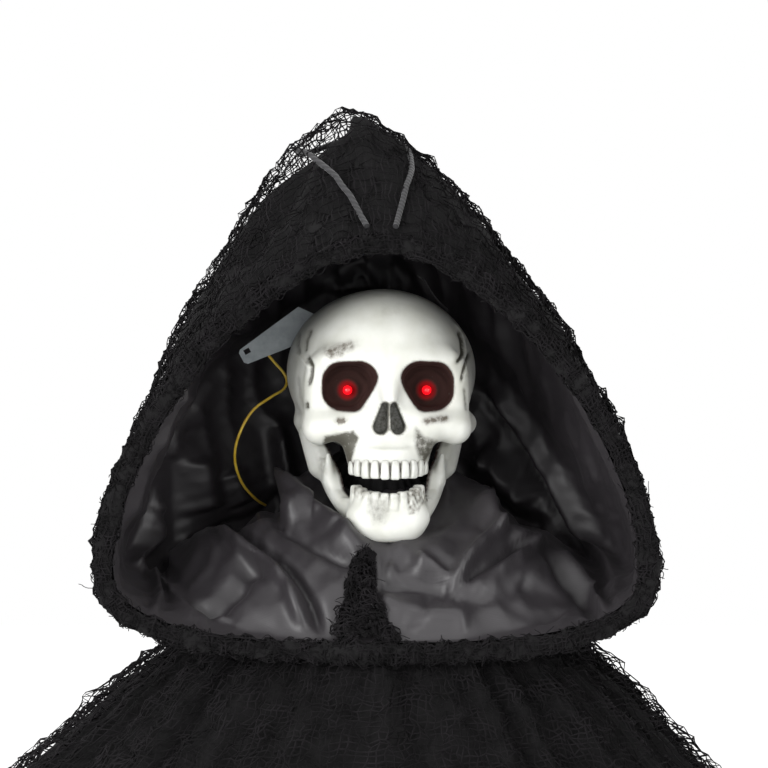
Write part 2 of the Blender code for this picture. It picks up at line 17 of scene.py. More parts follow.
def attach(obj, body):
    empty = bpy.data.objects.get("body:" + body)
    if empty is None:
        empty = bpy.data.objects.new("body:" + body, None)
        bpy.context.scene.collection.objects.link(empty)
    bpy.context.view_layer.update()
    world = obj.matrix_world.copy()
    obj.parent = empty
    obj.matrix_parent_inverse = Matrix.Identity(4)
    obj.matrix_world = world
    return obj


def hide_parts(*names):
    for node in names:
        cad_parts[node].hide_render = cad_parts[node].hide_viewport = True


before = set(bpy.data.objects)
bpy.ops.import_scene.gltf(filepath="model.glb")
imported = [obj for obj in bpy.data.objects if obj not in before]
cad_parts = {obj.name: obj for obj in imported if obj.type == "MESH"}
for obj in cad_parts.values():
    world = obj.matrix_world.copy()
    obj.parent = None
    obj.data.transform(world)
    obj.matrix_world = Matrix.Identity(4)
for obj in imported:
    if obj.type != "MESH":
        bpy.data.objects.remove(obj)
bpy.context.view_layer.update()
MM = 0.001
print("solid model:", sorted(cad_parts))

# %% [markdown]
# The camera stands level with the face and 1.8 m away, as for a product picture, so the perspective is gentle.
# At the middle of the skull one picture element of the 768 x 768 frame is 0.56 mm. `seen_at` says where in that
# frame a point shows, which is how folds and stains are put where the picture has them.

# %% Camera
CAMERA_AWAY = 1.8
CAMERA_X, CAMERA_Z = 13.1 * MM, 233 * MM
FRAME_WIDTH = 430 * MM
camera_data = bpy.data.cameras.new("camera")
camera_data.sensor_width = 36
camera_data.lens = 36 * CAMERA_AWAY / FRAME_WIDTH
camera = bpy.data.objects.new("camera", camera_data)
camera.location = (CAMERA_X, -CAMERA_AWAY, CAMERA_Z)
camera.rotation_euler = (math.pi / 2, 0, 0)
bpy.context.scene.collection.objects.link(camera)
bpy.context.scene.camera = camera
bpy.context.scene.view_settings.view_transform = "Standard"


def seen_at(points):
    """Where points show in the 768 x 768 picture, from its upper left corner."""
    points = np.asarray(points)
    near = CAMERA_AWAY / (CAMERA_AWAY + points[..., 1]) * 768 / FRAME_WIDTH
    return np.stack([384 + (points[..., 0] - CAMERA_X) * near, 384 - (points[..., 2] - CAMERA_Z) * near], axis=-1)


def shown_at(seen, y):
    """The point at depth y, in metres, that shows at this place of the picture."""
    near = (CAMERA_AWAY + y) / CAMERA_AWAY * FRAME_WIDTH / 768
    return np.array([CAMERA_X + (seen[0] - 384) * near, y, CAMERA_Z - (seen[1] - 384) * near])


print("lens %.1f mm" % camera_data.lens)

# %% [markdown]
# The sizes of the figure, in metres, are the solid model's own. The skull is laid out on a head of 140 units from
# crown to chin, turned a little to its left.

# %% Sizes
SKULL_HEIGHT = 140 * MM
SKULL_CENTRE_HEIGHT = 232 * MM
SKULL_YAW = math.radians(4.0)
SKULL_NOD = math.radians(0.5)
UNIT = SKULL_HEIGHT / 140
HEAD_ASIDE = 12 * MM
HOOD_OPENING_WIDTH = 294 * MM
HOOD_PEAK_RISE = 152 * MM
HOOD_DROP = 143 * MM
HOOD_FRONT_REACH = 98 * MM
HOOD_BACK_ROOM = 27 * MM
HOOD_WALL = 4 * MM
HEM_SWELL = 4 * MM
HEM_LENGTH = 13 * MM
SHOULDER_WIDTH = 420 * MM
SHOULDER_DEPTH = 214 * MM
SEAT_GAP = 0.3 * MM

# %% [markdown]
# Small helpers come next: one that makes a mesh object, one for numbers that wander smoothly over a surface, and
# two for materials. Colours are written as the sRGB values that a colour picker shows and turned to linear light.

# %% Helpers
def add_piece(name, points, faces, finish):
    """A mesh object that rides on the figure, with the finish it is given."""
    mesh = bpy.data.meshes.new(name)
    mesh.from_pydata([tuple(p) for p in points], [], [tuple(f) for f in faces])
    mesh.update()
    mesh.shade_smooth()
    made = bpy.data.objects.new(name, mesh)
    bpy.context.scene.collection.objects.link(made)
    mesh.materials.append(finish)
    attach(made, "root")
    return made


def wander(points, wavelength, seed, waves=12):
    """A smooth random height at each point, mostly between -1 and 1, whose bumps are about a wavelength apart."""
    rng = np.random.default_rng(seed)
    turn = rng.normal(size=(waves, np.asarray(points).shape[-1]))
    turn *= math.tau / wavelength * rng.uniform(0.6, 1.4, (waves, 1)) / np.linalg.norm(turn, axis=1, keepdims=True)
    return np.cos(points @ turn.T + rng.uniform(0, math.tau, waves)).sum(-1) * math.sqrt(1.2 / waves)


def linear(code):
    """An sRGB hex colour as linear red, green, blue and 1."""
    shares = [int(code[i : i + 2], 16) / 255 for i in (0, 2, 4)]
    return tuple(s / 12.92 if s <= 0.04045 else ((s + 0.055) / 1.055) ** 2.4 for s in shares) + (1.0,)


def add_node(finish, kind, settings=None, links=None):
    """Adds a node. Settings are its properties or its sockets' values, and links go from sockets to its inputs."""
    node = finish.node_tree.nodes.new("ShaderNode" + kind)
    for name, value in (settings or {}).items():
        if isinstance(name, str) and name.islower() and hasattr(node, name):
            setattr(node, name, value)
        else:
            node.inputs[name].default_value = value
    for name, source in (links or {}).items():
        finish.node_tree.links.new(source, node.inputs[name])
    return node


def new_finish(name, settings):
    """A material whose shader has these plain values."""
    finish = bpy.data.materials.new(name)
    finish.use_nodes = True
    shader = finish.node_tree.nodes["Principled BSDF"]
    for socket, value in settings.items():
        shader.inputs[socket].default_value = value
    return finish


def connect(finish, **sources):
    """Links sources to the shader's sockets, with spaces for underscores in their names."""
    shader = finish.node_tree.nodes["Principled BSDF"]
    for name, source in sources.items():
        finish.node_tree.links.new(source, shader.inputs[name.replace("_", " ")])


# %% [markdown]
# Folds, cracks and stains are drawn as strokes: a line of places in the picture, a width and a strength. A stroke
# is strongest on its line and fades to both sides and at its ends, like a crease pressed with a finger.

# %% Strokes
def stroke(seen, path, width, fade=0.12):
    """1 on the drawn line, falling off over its width, in picture elements, and thinner at its ends."""
    path = np.array(path, float)
    length = np.concatenate([[0], np.cumsum(np.linalg.norm(np.diff(path, axis=0), axis=1))])
    best = np.full(seen.shape[:-1], 1e9)
    place = np.zeros(seen.shape[:-1])
    for a, b, run, step in zip(path[:-1], path[1:], length[:-1], np.diff(length)):
        t = np.clip(((seen - a) @ (b - a)) / step**2, 0, 1)
        away = np.linalg.norm(seen - a - t[..., None] * (b - a), axis=-1)
        nearer = away < best
        best = np.where(nearer, away, best)
        place = np.where(nearer, (run + t * step) / length[-1], place)
    ends = np.clip(np.minimum(place, 1 - place) / fade + 0.25, 0, 1)
    return np.exp(-((best / width) ** 2)) * ends


def stain(seen, outline, soft):
    """1 inside a drawn outline, fading to 0 over a soft edge, in picture elements."""
    outline = np.array(outline, float)
    inside = np.zeros(seen.shape[:-1], bool)
    away = np.full(seen.shape[:-1], 1e9)
    for a, b in zip(outline, np.roll(outline, -1, axis=0)):
        t = np.clip(((seen - a) @ (b - a)) / ((b - a) @ (b - a)), 0, 1)
        away = np.minimum(away, np.linalg.norm(seen - a - t[..., None] * (b - a), axis=-1))
        crosses = (a[1] > seen[..., 1]) != (b[1] > seen[..., 1])
        x = a[0] + (seen[..., 1] - a[1]) * (b[0] - a[0]) / (b[1] - a[1] if b[1] != a[1] else 1e-9)
        inside ^= crosses & (seen[..., 0] < x)
    return np.clip(0.5 + np.where(inside, away, -away) / soft, 0, 1)


# %% [markdown]
# ## The skull
# The real skull is a hollow moulding of white plastic. Faces like this are sculpted in clay first, so it is made of
# "clay" here too: every form is a field that is negative inside, and fields blend softly where they meet. Box
# modelling would need hundreds of hand-placed points for the same soft brows and cheekbones.

# %% Clay
def ellipsoid(p, centre, radii):
    q = p - np.array(centre)
    radii = np.array(radii)
    near = np.linalg.norm(q / radii, axis=-1)
    slope = np.linalg.norm(q / radii**2, axis=-1)
    return near * (near - 1.0) / np.maximum(slope, 1e-6)


def limb(p, start, end, start_radius, end_radius):
    """A rod with round ends whose radius changes evenly from one end to the other."""
    start = np.array(start, float)
    along = np.array(end, float) - start
    t = np.clip(((p - start) @ along) / (along @ along), 0.0, 1.0)
    return np.linalg.norm(p - start - t[..., None] * along, axis=-1) - (start_radius + (end_radius - start_radius) * t)


def blend(a, b, soft):
    """Both forms, with a fillet about as wide as soft between them."""
    h = np.clip(0.5 + 0.5 * (b - a) / soft, 0.0, 1.0)
    return b + (a - b) * h - soft * h * (1.0 - h)


def carve(a, b, soft):
    """The first form with the second cut away, and the cut's edge rounded."""
    return -blend(-a, b, soft)


def mirrored(p):
    return np.stack([np.abs(p[..., 0]), p[..., 1], p[..., 2]], axis=-1)


# %% [markdown]
# The upper face: brow, cheekbones, deep sockets with their lower inner corner cut across, and a nose opening like
# an upside-down heart. The teeth are separate forms in a row, because on the moulding too they are only joined at
# the gum.

# %% The skull's forms
LAMP_Z = -2.0
EYE_X, EYE_HALF_WIDTH, EYE_HALF_HEIGHT, EYE_FLOOR_Y = 21.7, 15.0, 13.3, -39.0


def eye_socket(m):
    depth = np.clip((m[..., 1] + 58.0) / 24.0, -0.4, 1.2)
    size = 1.0 - 0.22 * depth
    u = (m[..., 0] - EYE_X) / size
    w = m[..., 2] / size
    box = np.stack([np.abs(u) - EYE_HALF_WIDTH + 10.5, np.abs(w) - EYE_HALF_HEIGHT + 10.5], axis=-1)
    outline = np.linalg.norm(np.maximum(box, 0), axis=-1) + np.minimum(box.max(axis=-1), 0) - 10.5
    corner = (-0.84 * u - 0.54 * w) - 11.8
    outline = -blend(-outline, -corner, 4.0)
    floor = m[..., 1] - EYE_FLOOR_Y
    return -blend(-outline * size, -floor, 3.0)


def nose_opening(m):
    start, end = np.array([2.3, -10.4]), np.array([4.7, -21.6])
    along = end - start
    flat = m[..., [0, 2]]
    t = np.clip(((flat - start) @ along) / (along @ along), 0.0, 1.0)
    outline = np.linalg.norm(flat - start - t[..., None] * along, axis=-1) - (1.9 + 2.2 * t)
    return np.maximum(outline, m[..., 1] + 46.0)


def arch_band(p, width, depth, back, thickness, low, high):
    """The ridge of bone that a row of teeth stands in: a horseshoe of even thickness between two heights."""
    flat = np.stack([p[..., 0] / width, (p[..., 1] - back) / depth], axis=-1)
    outline = (np.linalg.norm(flat, axis=-1) - 1.0) * min(width, depth)
    wall = np.abs(outline + thickness / 2) - thickness / 2
    slab = np.abs(p[..., 2] - (low + high) / 2) - (high - low) / 2
    box = np.stack([wall + 1.5, slab + 1.5], axis=-1)
    band = np.linalg.norm(np.maximum(box, 0), axis=-1) + np.minimum(box.max(axis=-1), 0) - 1.5
    return np.maximum(band, p[..., 1] - back - 6.0)


def skull_field(p):
    """The skull without its jaw and teeth. The face looks along -Y and the middle of the head is at 0."""
    m = mirrored(p)
    d = ellipsoid(p, (0, 8, 8), (53, 57, 46))
    d = blend(d, ellipsoid(p, (0, -20, 15), (42, 39, 36)), 12)
    d = blend(d, ellipsoid(m, (33, -20, -2), (14, 24, 22)), 9)
    d = blend(d, ellipsoid(m, (22, -31, 0), (20, 20, 25)), 8)
    d = blend(d, ellipsoid(p, (0, -37, -22), (23, 24, 23)), 9)
    d = blend(d, limb(m, (5, -53.5, 14.5), (33, -46, 15), 4.2, 4.6), 8)
    d = blend(d, limb(m, (38.5, -41, 10), (38.5, -39, -14), 4.4, 6.0), 7)
    d = blend(d, limb(m, (15, -52, -19.5), (37, -43.5, -22.5), 7.0, 8.8), 6)
    for side, arch in ((1, 44.5), (-1, 40.0)):
        d = blend(d, limb(p, (side * 37, -40, -22.5), (side * arch, -20, -20.5), 8.2, 5.6), 4)
        d = blend(d, limb(p, (side * arch, -20, -20.5), (side * (arch - 1), 6, -14), 5.6, 4.5), 4)
    d = blend(d, limb(m, (19, -48, -24), (15, -47, -38), 7.5, 6.5), 7)
    d = blend(d, limb(p, (0, -55, 6), (0, -61.5, -7), 5.2, 3.4), 7)
    d = blend(d, limb(m, (41, 10, -20), (38, 6, -34), 8.0, 4.0), 6)
    d = carve(d, ellipsoid(m, (33, -40, -46), (10.5, 24, 10.5)), 3)
    d = carve(d, ellipsoid(p, (0, -28, -57), (14, 26, 14)), 3)
    rings = 0.45 * np.sin(np.hypot(m[..., 0] - EYE_X, m[..., 2] - LAMP_Z) * 1.35) * (m[..., 1] > -50)
    d = carve(d, eye_socket(m) + rings, 1.8)
    d = carve(d, nose_opening(m), 1.2)
    return blend(d, arch_band(p, 20.5, 22.5, -41.0, 7.5, -47.0, -34.0), 7)


def tooth_row(p, arch_width, arch_depth, arch_back, count, gum, tip, side_tip, taper, wobble=0.0):
    """Teeth side by side on a horseshoe arch, longest in the middle."""
    field = np.full(p.shape[:-1], 1e3)
    spread = math.radians(74)
    width = arch_width * 2 * spread / count * 0.97
    for i in range(count):
        angle = spread * ((i + 0.5) / count * 2 - 1)
        centre = np.array([arch_width * math.sin(angle), arch_back - arch_depth * math.cos(angle)])
        out = np.array([math.sin(angle) / arch_width, -math.cos(angle) / arch_depth])
        out = out / np.linalg.norm(out)
        side = np.array([-out[1], out[0]])
        low = tip + (side_tip - tip) * (1 - math.cos(angle)) * 1.3 + wobble * math.sin(2.4 * i)
        flat = p[..., :2] - centre
        height = (p[..., 2] - low) / (gum - low)
        half_width = width / 2 * (1 - taper * np.clip(height, 0, 1))
        bulge = 0.5 * np.sin(np.clip(height, 0, 1) * math.pi)
        box = np.stack(
            [
                np.abs(flat @ side) - half_width + 1.3,
                np.abs(flat @ out) - 2.9 - bulge + 1.3,
                np.abs(p[..., 2] - (gum + low) / 2) - abs(gum - low) / 2 + 1.3,
            ],
            axis=-1,
        )
        tooth = np.linalg.norm(np.maximum(box, 0), axis=-1) + np.minimum(box.max(axis=-1), 0) - 1.3
        field = np.minimum(field, tooth)
    return field


def upper_teeth(p):
    return tooth_row(p, 20.0, 21.5, -41.0, 10, -39.5, -50.2, -47.6, 0.25, 0.25)


def lower_teeth(p):
    return tooth_row(p, 18.6, 21.0, -36.5, 10, -67.0, -57.6, -52.6, 0.15, 0.3)


# %% [markdown]
# The jaw is a horseshoe wall that closes towards the chin, with a thin blade and a thick one rising at each side
# where the real bone has its muscle and its hinge. It hangs open, and is held so, as on the real moulding.

# %% The jaw's forms
def jaw_arch(p):
    half_width = 36.5 + np.maximum(p[..., 2] + 51.0, 0.0) * 0.2
    x = np.abs(p[..., 0])
    y = np.minimum(p[..., 1] - 5.0, 0.0)
    size = ((x / half_width) ** 1.7 + (-y / 63.0) ** 1.7) ** (1 / 1.7)
    reach = np.hypot(x, y)
    return reach - reach / np.maximum(size, 1e-6)


def jaw_field(p):
    m = mirrored(p)
    y, z = p[..., 1], p[..., 2]
    lower = np.interp(y, (-60, -53, -48, -42, -32, -15, 0, 8), (-82.5, -82, -81, -78, -71.5, -61, -51, -46))
    upper = np.interp(y, (-60, -33, -26, -20, -16, -12, -8, 8), (-61, -61, -57, -46, -41, -40, -34, -27))
    wall = np.abs(jaw_arch(p) + 4.2) - 4.2
    d = carve(wall, (upper - z) * 0.8, 3.0)
    d = carve(d, (z - lower) * 0.8, 5.0)
    d = carve(d, 4.0 - y, 4.0)
    d = blend(d, limb(m, (30, -19, -52), (31.5, -25, -38), 4.0, 1.3), 4)
    d = blend(d, limb(m, (36, -3, -45), (42, 3, -26), 5.6, 4.6), 5)
    d = blend(d, ellipsoid(m, (8, -48.5, -71), (15, 10.5, 11.5)), 6)
    d = blend(d, limb(m, (0, -55.5, -77.5), (11, -53, -77.5), 4.6, 4.0), 8)
    d = blend(d, lower_teeth(p), 2.4)
    return np.maximum(d, 0.6 - skull_field(p))


# %% [markdown]
# The fields are read on a fine grid and wrapped in quads. A finer grid is used for the teeth, whose gaps are under
# a millimetre wide.

# %% From clay to mesh
def head_matrix():
    """From the skull's layout to its place: its size, its nod, its turn and its height."""
    turn = Matrix.Rotation(SKULL_YAW, 4, "Z") @ Matrix.Rotation(SKULL_NOD, 4, "X")
    return Matrix.Translation((HEAD_ASIDE, 0, SKULL_CENTRE_HEIGHT)) @ turn @ Matrix.Scale(UNIT, 4)


HEAD = np.array(head_matrix())


def cast(field, low, high, voxel):
    """Points in the skull's layout and quads that wrap the field's surface."""
    counts = [int(math.ceil((b - a) / voxel)) + 1 for a, b in zip(low, high)]
    axes = [a + voxel * np.arange(n) for a, n in zip(low, counts)]
    values = np.empty(counts, np.float32)
    for i, x in enumerate(axes[0]):
        y, z = np.meshgrid(axes[1], axes[2], indexing="ij")
        values[i] = field(np.stack([np.full_like(y, x), y, z], axis=-1))
    grid = openvdb.FloatGrid(1000.0)
    grid.copyFromArray(values)
    points, quads = grid.convertToQuads(isovalue=0.0)
    return np.array(low) + np.array(points) * voxel, quads


def placed(layout):
    return layout @ HEAD[:3, :3].T + HEAD[:3, 3]


def outwards(field, layout, step=0.4):
    """The direction in which the field grows fastest, which is straight out of its surface."""
    slope = np.stack([field(layout + np.eye(3)[k] * step) - field(layout - np.eye(3)[k] * step) for k in range(3)],
        axis=-1)
    return slope / np.maximum(np.linalg.norm(slope, axis=-1, keepdims=True), 1e-9)


skull_layout, skull_quads = cast(skull_field, (-60, -76, -60), (60, 72, 60), 1.0)
jaw_layout, jaw_quads = cast(jaw_field, (-54, -70, -92), (54, 14, -16), 0.7)
teeth_layout, teeth_quads = cast(upper_teeth, (-28, -68, -58), (28, -26, -37), 0.5)
print("skull", len(skull_quads), "jaw", len(jaw_quads), "teeth", len(teeth_quads), "quads")

# %% [markdown]
# The plastic is cast in a warm white and then dirtied by hand: black in the sockets, the nose and behind the teeth,
# a grey-green wash in the hollows, and a few brownish smears. The hollows are also darkened by painted shade, and
# round each lamp the socket takes a painted red tint for the lamp's light. This is kept as four numbers at each
# point of the mesh, soot, grime with the painted shade, smear and the painted lamp light, because it follows the
# form. Strokes are in picture elements.

# %% Paint on the skull
def hollows(field, layout, reach):
    """How far each point of a surface lies in a hollow: 0 on open ground, 1 where nearby form hems it in."""
    away = outwards(field, layout)
    return np.clip(1.0 - field(layout + away * reach) / reach, 0, 1)


def crop(places, x0=270.0, y0=280.0, scale=5.81):
    """From places in an enlarged crop of the picture to places in the picture."""
    return [(x0 + x / scale, y0 + y / scale) for x, y in places]


# Line, width in picture elements and depth in millimetres: sutures and the edges of the temples' muscle fields.
SKULL_CRACKS = (
    ([(308, 356), (312, 366), (311, 377), (308.5, 385)], 1.8, 1.1),
    ([(295.5, 352.5), (303, 360), (309, 368)], 1.3, -0.7),
    ([(311.5, 329), (307, 340), (305.5, 352)], 1.7, 0.5),
    ([(300, 332), (298, 345), (300, 354)], 1.6, 0.4),
    ([(306.5, 402), (307, 409)], 1.8, 0.8),
    ([(298, 375), (300, 395), (304, 408)], 2.0, 0.25),
    ([(458, 331), (461.5, 340), (462.5, 353), (460.5, 358), (456.5, 363)], 1.5, 1.0),
    ([(454, 323), (463.5, 336), (465.5, 351), (463.5, 360)], 1.3, -0.6),
    ([(469.5, 352), (466, 363), (463, 373), (461.5, 381)], 1.4, 0.9),
    ([(464.5, 388), (466.5, 411)], 1.5, 0.4),
)
SKULL_SMEARS = (
    (crop([(310, 425), (390, 400), (495, 372)]), 5.0, 0.75),
    (crop([(335, 440), (430, 418)]), 4.5, 0.7),
    (crop([(385, 822), (440, 818)]), 3.2, 1.2),
    (crop([(890, 826), (955, 812), (1040, 806)]), 3.2, 1.1),
    (crop([(855, 700), (905, 740), (960, 760)]), 2.0, 0.3),
    (crop([(640, 180), (760, 175)]), 7.0, 0.12),
)
GRIME_OUTLINES = (
    ([(325, 437), (345, 433), (353, 431), (358, 438), (355, 447), (352, 456), (350, 466), (340, 462), (330, 455), (323,
        446)], 4.0, 1.3),
    ([(416, 428), (424, 437), (436, 441), (440, 448), (430, 456), (425, 464), (419, 456), (415, 444)], 5.0, 0.9),
)
JAW_STAINS = (
    ([(408, 491), (416, 487), (427, 491), (429, 501), (421, 505), (417, 515), (409, 514), (407, 503)], 3.0, 0.8),
    ([(352, 484), (363, 479), (370, 487), (368, 498), (358, 499), (351, 492)], 4.0, 0.45),
    ([(318, 452), (325, 462), (327, 475), (320, 470)], 4.0, 0.3),
)
CHIN_WASH = [(368, 498), (387, 498), (389, 510), (384, 523), (373, 523), (368, 513)]


def paint(made, **layers):
    """Keeps each layer of paint as a number from 0, bare, to 1, covered, or to 1.6 where nothing may shine through."""
    for name, values in layers.items():
        layer = made.data.attributes.new(name, "FLOAT", "POINT")
        layer.data.foreach_set("value", np.clip(values, 0, 1.6).astype(np.float32))


# %% [markdown]
# The material starts from what it is: injection-moulded polystyrene, IOR 1.59, a half-matt surface. Two noises
# break up the edges of the paint, so that it looks wiped on and not sprayed, and a fine grain of 0.4 mm gives the
# cast surface its tooth.

# %% Cast white plastic with wiped paint, painted shade and painted lamp light
bone = new_finish("moulded polystyrene, wiped with dark paint", {"IOR": 1.59, "Roughness": 0.42,
    "Subsurface Weight": 0.3, "Subsurface Radius": (1.0, 0.95, 0.85), "Subsurface Scale": 0.012})
place = add_node(bone, "TexCoord").outputs["Object"]
mottle = add_node(bone, "TexNoise", {"Scale": 60.0, "Detail": 4.0}, {"Vector": place})
wipe = add_node(bone, "TexNoise", {"Scale": 420.0, "Detail": 6.0, "Roughness": 0.65}, {"Vector": place})
grain = add_node(bone, "TexNoise", {"Scale": 2500.0, "Detail": 2.0}, {"Vector": place})
ivory = add_node(bone, "ValToRGB", {}, {"Fac": mottle.outputs["Fac"]})
ivory.color_ramp.elements[0].position, ivory.color_ramp.elements[0].color = 0.3, linear("C4C5BC")
ivory.color_ramp.elements[1].position, ivory.color_ramp.elements[1].color = 0.7, linear("D6D7D1")
colour = ivory.outputs["Color"]
# The grime layer holds painted shade in the hollows along with the wash and stains, and the glow layer is painted red
# lamp light on the sockets.
for name, code, break_up in (("grime", "514F46", 0.5), ("smear", "5C554B", 0.6), ("soot", "33221F", 0.25), ("glow",
    "8E0F16", 0.1)):
    amount = add_node(bone, "Attribute", {"attribute_name": name}).outputs["Fac"]
    rough_edge = add_node(bone, "MapRange", {"From Min": 0.3, "From Max": 0.7, "To Min": -break_up,
        "To Max": break_up}, {"Value": wipe.outputs["Fac"]})
    edge = add_node(bone, "Math", {"operation": "MULTIPLY"}, {0: rough_edge.outputs[0], 1: amount})
    share = add_node(bone, "Math", {"operation": "ADD", "use_clamp": True}, {0: edge.outputs[0], 1: amount})
    coat = add_node(bone, "Mix", {"data_type": "RGBA", "B": (0, 0, 0, 1)}, {})
    coat.inputs[7].default_value = linear(code)
    bone.node_tree.links.new(share.outputs[0], coat.inputs[0])
    bone.node_tree.links.new(colour, coat.inputs[6])
    colour = coat.outputs[2]
relief = add_node(bone, "Bump", {"Strength": 0.12, "Distance": 0.0002}, {"Height": grain.outputs["Fac"]})
sheen = add_node(bone, "MapRange", {"To Min": 0.4, "To Max": 0.55}, {"Value": mottle.outputs["Fac"]})
covered = add_node(bone, "Attribute", {"attribute_name": "soot"}).outputs["Fac"]
gloss_left = add_node(bone, "MapRange", {"To Min": 0.5, "To Max": 0.08}, {"Value": covered})
rough_paint = add_node(bone, "Math", {"operation": "MAXIMUM"}, {0: sheen.outputs[0], 1: covered})
connect(bone, Base_Color=colour, Normal=relief.outputs["Normal"], Roughness=rough_paint.outputs[0],
    Specular_IOR_Level=gloss_left.outputs[0])

# %% Skull, teeth and jaw
for name, field, layout, quads, nodes in (
    ("moulded_skull", skull_field, skull_layout, skull_quads, ("skull",)),
    ("upper_teeth", upper_teeth, teeth_layout, teeth_quads, ()),
    ("moulded_jaw", jaw_field, jaw_layout, jaw_quads, ("jaw",)),
):
    points = placed(layout)
    seen = seen_at(points)
    away = outwards(field, layout)
    front = np.clip(-away[:, 1] * 7.0, 0, 1)
    m = mirrored(layout)
    near_hollow = hollows(skull_field if name != "moulded_jaw" else field, layout, 3.0)
    wide_hollow = hollows(skull_field if name != "moulded_jaw" else field, layout, 9.0)
    # Darker in the hollows: painted shade, over the grey-green wash that stays there.
    grime = 0.4 * np.clip(wide_hollow - 0.25, 0, 1) + 0.4 * np.clip(near_hollow - 0.3, 0, 1)
    smear = np.zeros(len(points))
    soot = np.zeros(len(points))
    glow = np.zeros(len(points))
    if name == "moulded_skull":
        for path, width, depth in SKULL_CRACKS:
            line = stroke(seen, path, width) * front
            points = points - (away * (line * depth * 1.3)[:, None]) * MM
            grime = grime + line * max(depth, 0.0) * 1.5
        for path, width, strength in SKULL_SMEARS:
            smear = np.maximum(smear, stroke(seen, path, width) * strength * front)
        for outline, soft, strength in GRIME_OUTLINES:
            grime = np.maximum(grime, stain(seen, outline, soft) * strength * front)
        socket = np.clip(1.6 - np.maximum(eye_socket(m), 0) * 1.1, 0, 1.6) * (m[:, 1] < EYE_FLOOR_Y + 5)
        nose = np.where((m[:, 0] < 14) & (m[:, 1] < -44), 1.2 - nose_opening(m) * 1.1, 0)
        grime = np.maximum(grime, np.clip(nose, 0, 0.72))
        soot = socket
        # Painted lamp light: the socket round each lamp takes a red tint where the lamp's light falls on it.
        from_lamp = np.hypot(m[:, 0] - EYE_X, layout[:, 2] - LAMP_Z)
        glow = np.clip(1.25 - (from_lamp - 2.5) / 2.8, 0, 1) * (socket > 0.5)
        under = np.clip((-39.5 - layout[:, 2]) * 0.5, 0, 1) * (layout[:, 1] > -56) * (np.abs(layout[:, 0]) < 19)
        soot = np.maximum(soot, under * np.clip((layout[:, 1] + 58) * 0.4, 0, 1))
        gap = np.clip((-40.4 - layout[:, 2]) / 1.2, 0, 1) * (layout[:, 1] < -44) * (np.abs(layout[:, 0]) < 22)
        soot = np.maximum(soot, 0.8 * gap)
    elif name == "upper_teeth":
        gum = np.clip((layout[:, 2] + 43.5) / 4.0, 0, 1)
        between = np.clip(1.0 - upper_teeth(layout + away * 1.2) / 1.2, 0, 1)
        grime = 0.3 * gum + (0.3 + 0.7 * gum) * np.clip(between - 0.15, 0, 1)
        soot = np.clip((layout[:, 1] + 59.5) * 0.25, 0, 1) * (away[:, 1] > 0.2)
    else:
        inside = np.clip(-(jaw_arch(layout) + 5.0) * 0.5, 0, 1)
        soot = inside * np.clip((layout[:, 1] + 62) / 10, 0, 1) * 0.95
        grime = np.maximum(grime, stain(seen, CHIN_WASH, 9.0) * 0.45 * front)
        gum = stroke(seen, crop([(500, 1215), (700, 1275), (860, 1240)]), 3.2)
        grime = np.maximum(grime, gum * 0.25 * front)
        for outline, soft, strength in JAW_STAINS:
            specks = np.clip(0.55 + 0.5 * wander(points, 3 * MM, 5), 0, 1)
            smear = np.maximum(smear, stain(seen, outline, soft) * strength * specks * front)
    made = add_piece(name, points, quads, bone)
    paint(made, soot=soot, grime=grime, smear=smear, glow=glow)
    if nodes:
        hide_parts(*nodes)

# %% [markdown]
# ## The eye lamps
# Each eye is an ordinary 5 mm red lamp: a short rod of coloured epoxy with a round nose, standing in the socket's
# floor. A cylinder is rounded at its front by shrinking rings of points, as on a lathe. It glows, so the material
# gives off light as well as reflecting it.

# %% Lamps
LAMP_DIAMETER, LAMP_LENGTH, LAMP_SEAT_DEPTH = 5 * MM, 8.6 * MM, 4.2 * MM
lens = new_finish("red epoxy lens, lit", {"Base Color": linear("D10A12"), "Roughness": 0.12, "IOR": 1.55,
    "Emission Color": linear("FF1420")})
lens_place = add_node(lens, "TexCoord").outputs["Object"]
lens_cloud = add_node(lens, "TexNoise", {"Scale": 500.0}, {"Vector": lens_place})
glow = add_node(lens, "MapRange", {"To Min": 0.5, "To Max": 1.9}, {"Value": lens_cloud.outputs["Fac"]})
connect(lens, Emission_Strength=glow.outputs[0])


def turned(profile, sides):
    """Points and faces of a closed solid of revolution about Y from (y, radius) pairs."""
    points = [(r * math.cos(math.tau * i / sides), y, r * math.sin(math.tau * i / sides)) for y,
        r in profile for i in range(sides)]
    faces = []
    for k in range(len(profile) - 1):
        for i in range(sides):
            j = (i + 1) % sides
            faces.append((k * sides + i, (k + 1) * sides + i, (k + 1) * sides + j, k * sides + j))
    last = (len(profile) - 1) * sides
    return np.array(points), faces + [tuple(range(sides)), tuple(range(last + sides - 1, last - 1, -1))]


radius = LAMP_DIAMETER / 2
nose = [(LAMP_SEAT_DEPTH - LAMP_LENGTH + radius * (1 - math.cos(a)), radius * math.sin(a)) for a in np.radians([4, 15,
    30, 45, 60, 75, 90])]
for side, name in ((-1, "eye_lamp_left"), (1, "eye_lamp_right")):
    points, faces = turned(nose + [(LAMP_SEAT_DEPTH, radius)], 32)
    seat = np.array([side * EYE_X, EYE_FLOOR_Y, LAMP_Z])
    lamp = add_piece("lit_" + name, placed(points / UNIT + seat), faces, lens)
    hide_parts(name)

# %% [markdown]
# ## The hood's pattern
# The hood is a run of upright sections from its opening to the back of the head. Each row holds shares of the
# hood's sizes, and a smooth curve runs through the rows. The satin, the black backing and the gauze are all made
# from this one pattern, at different depths.

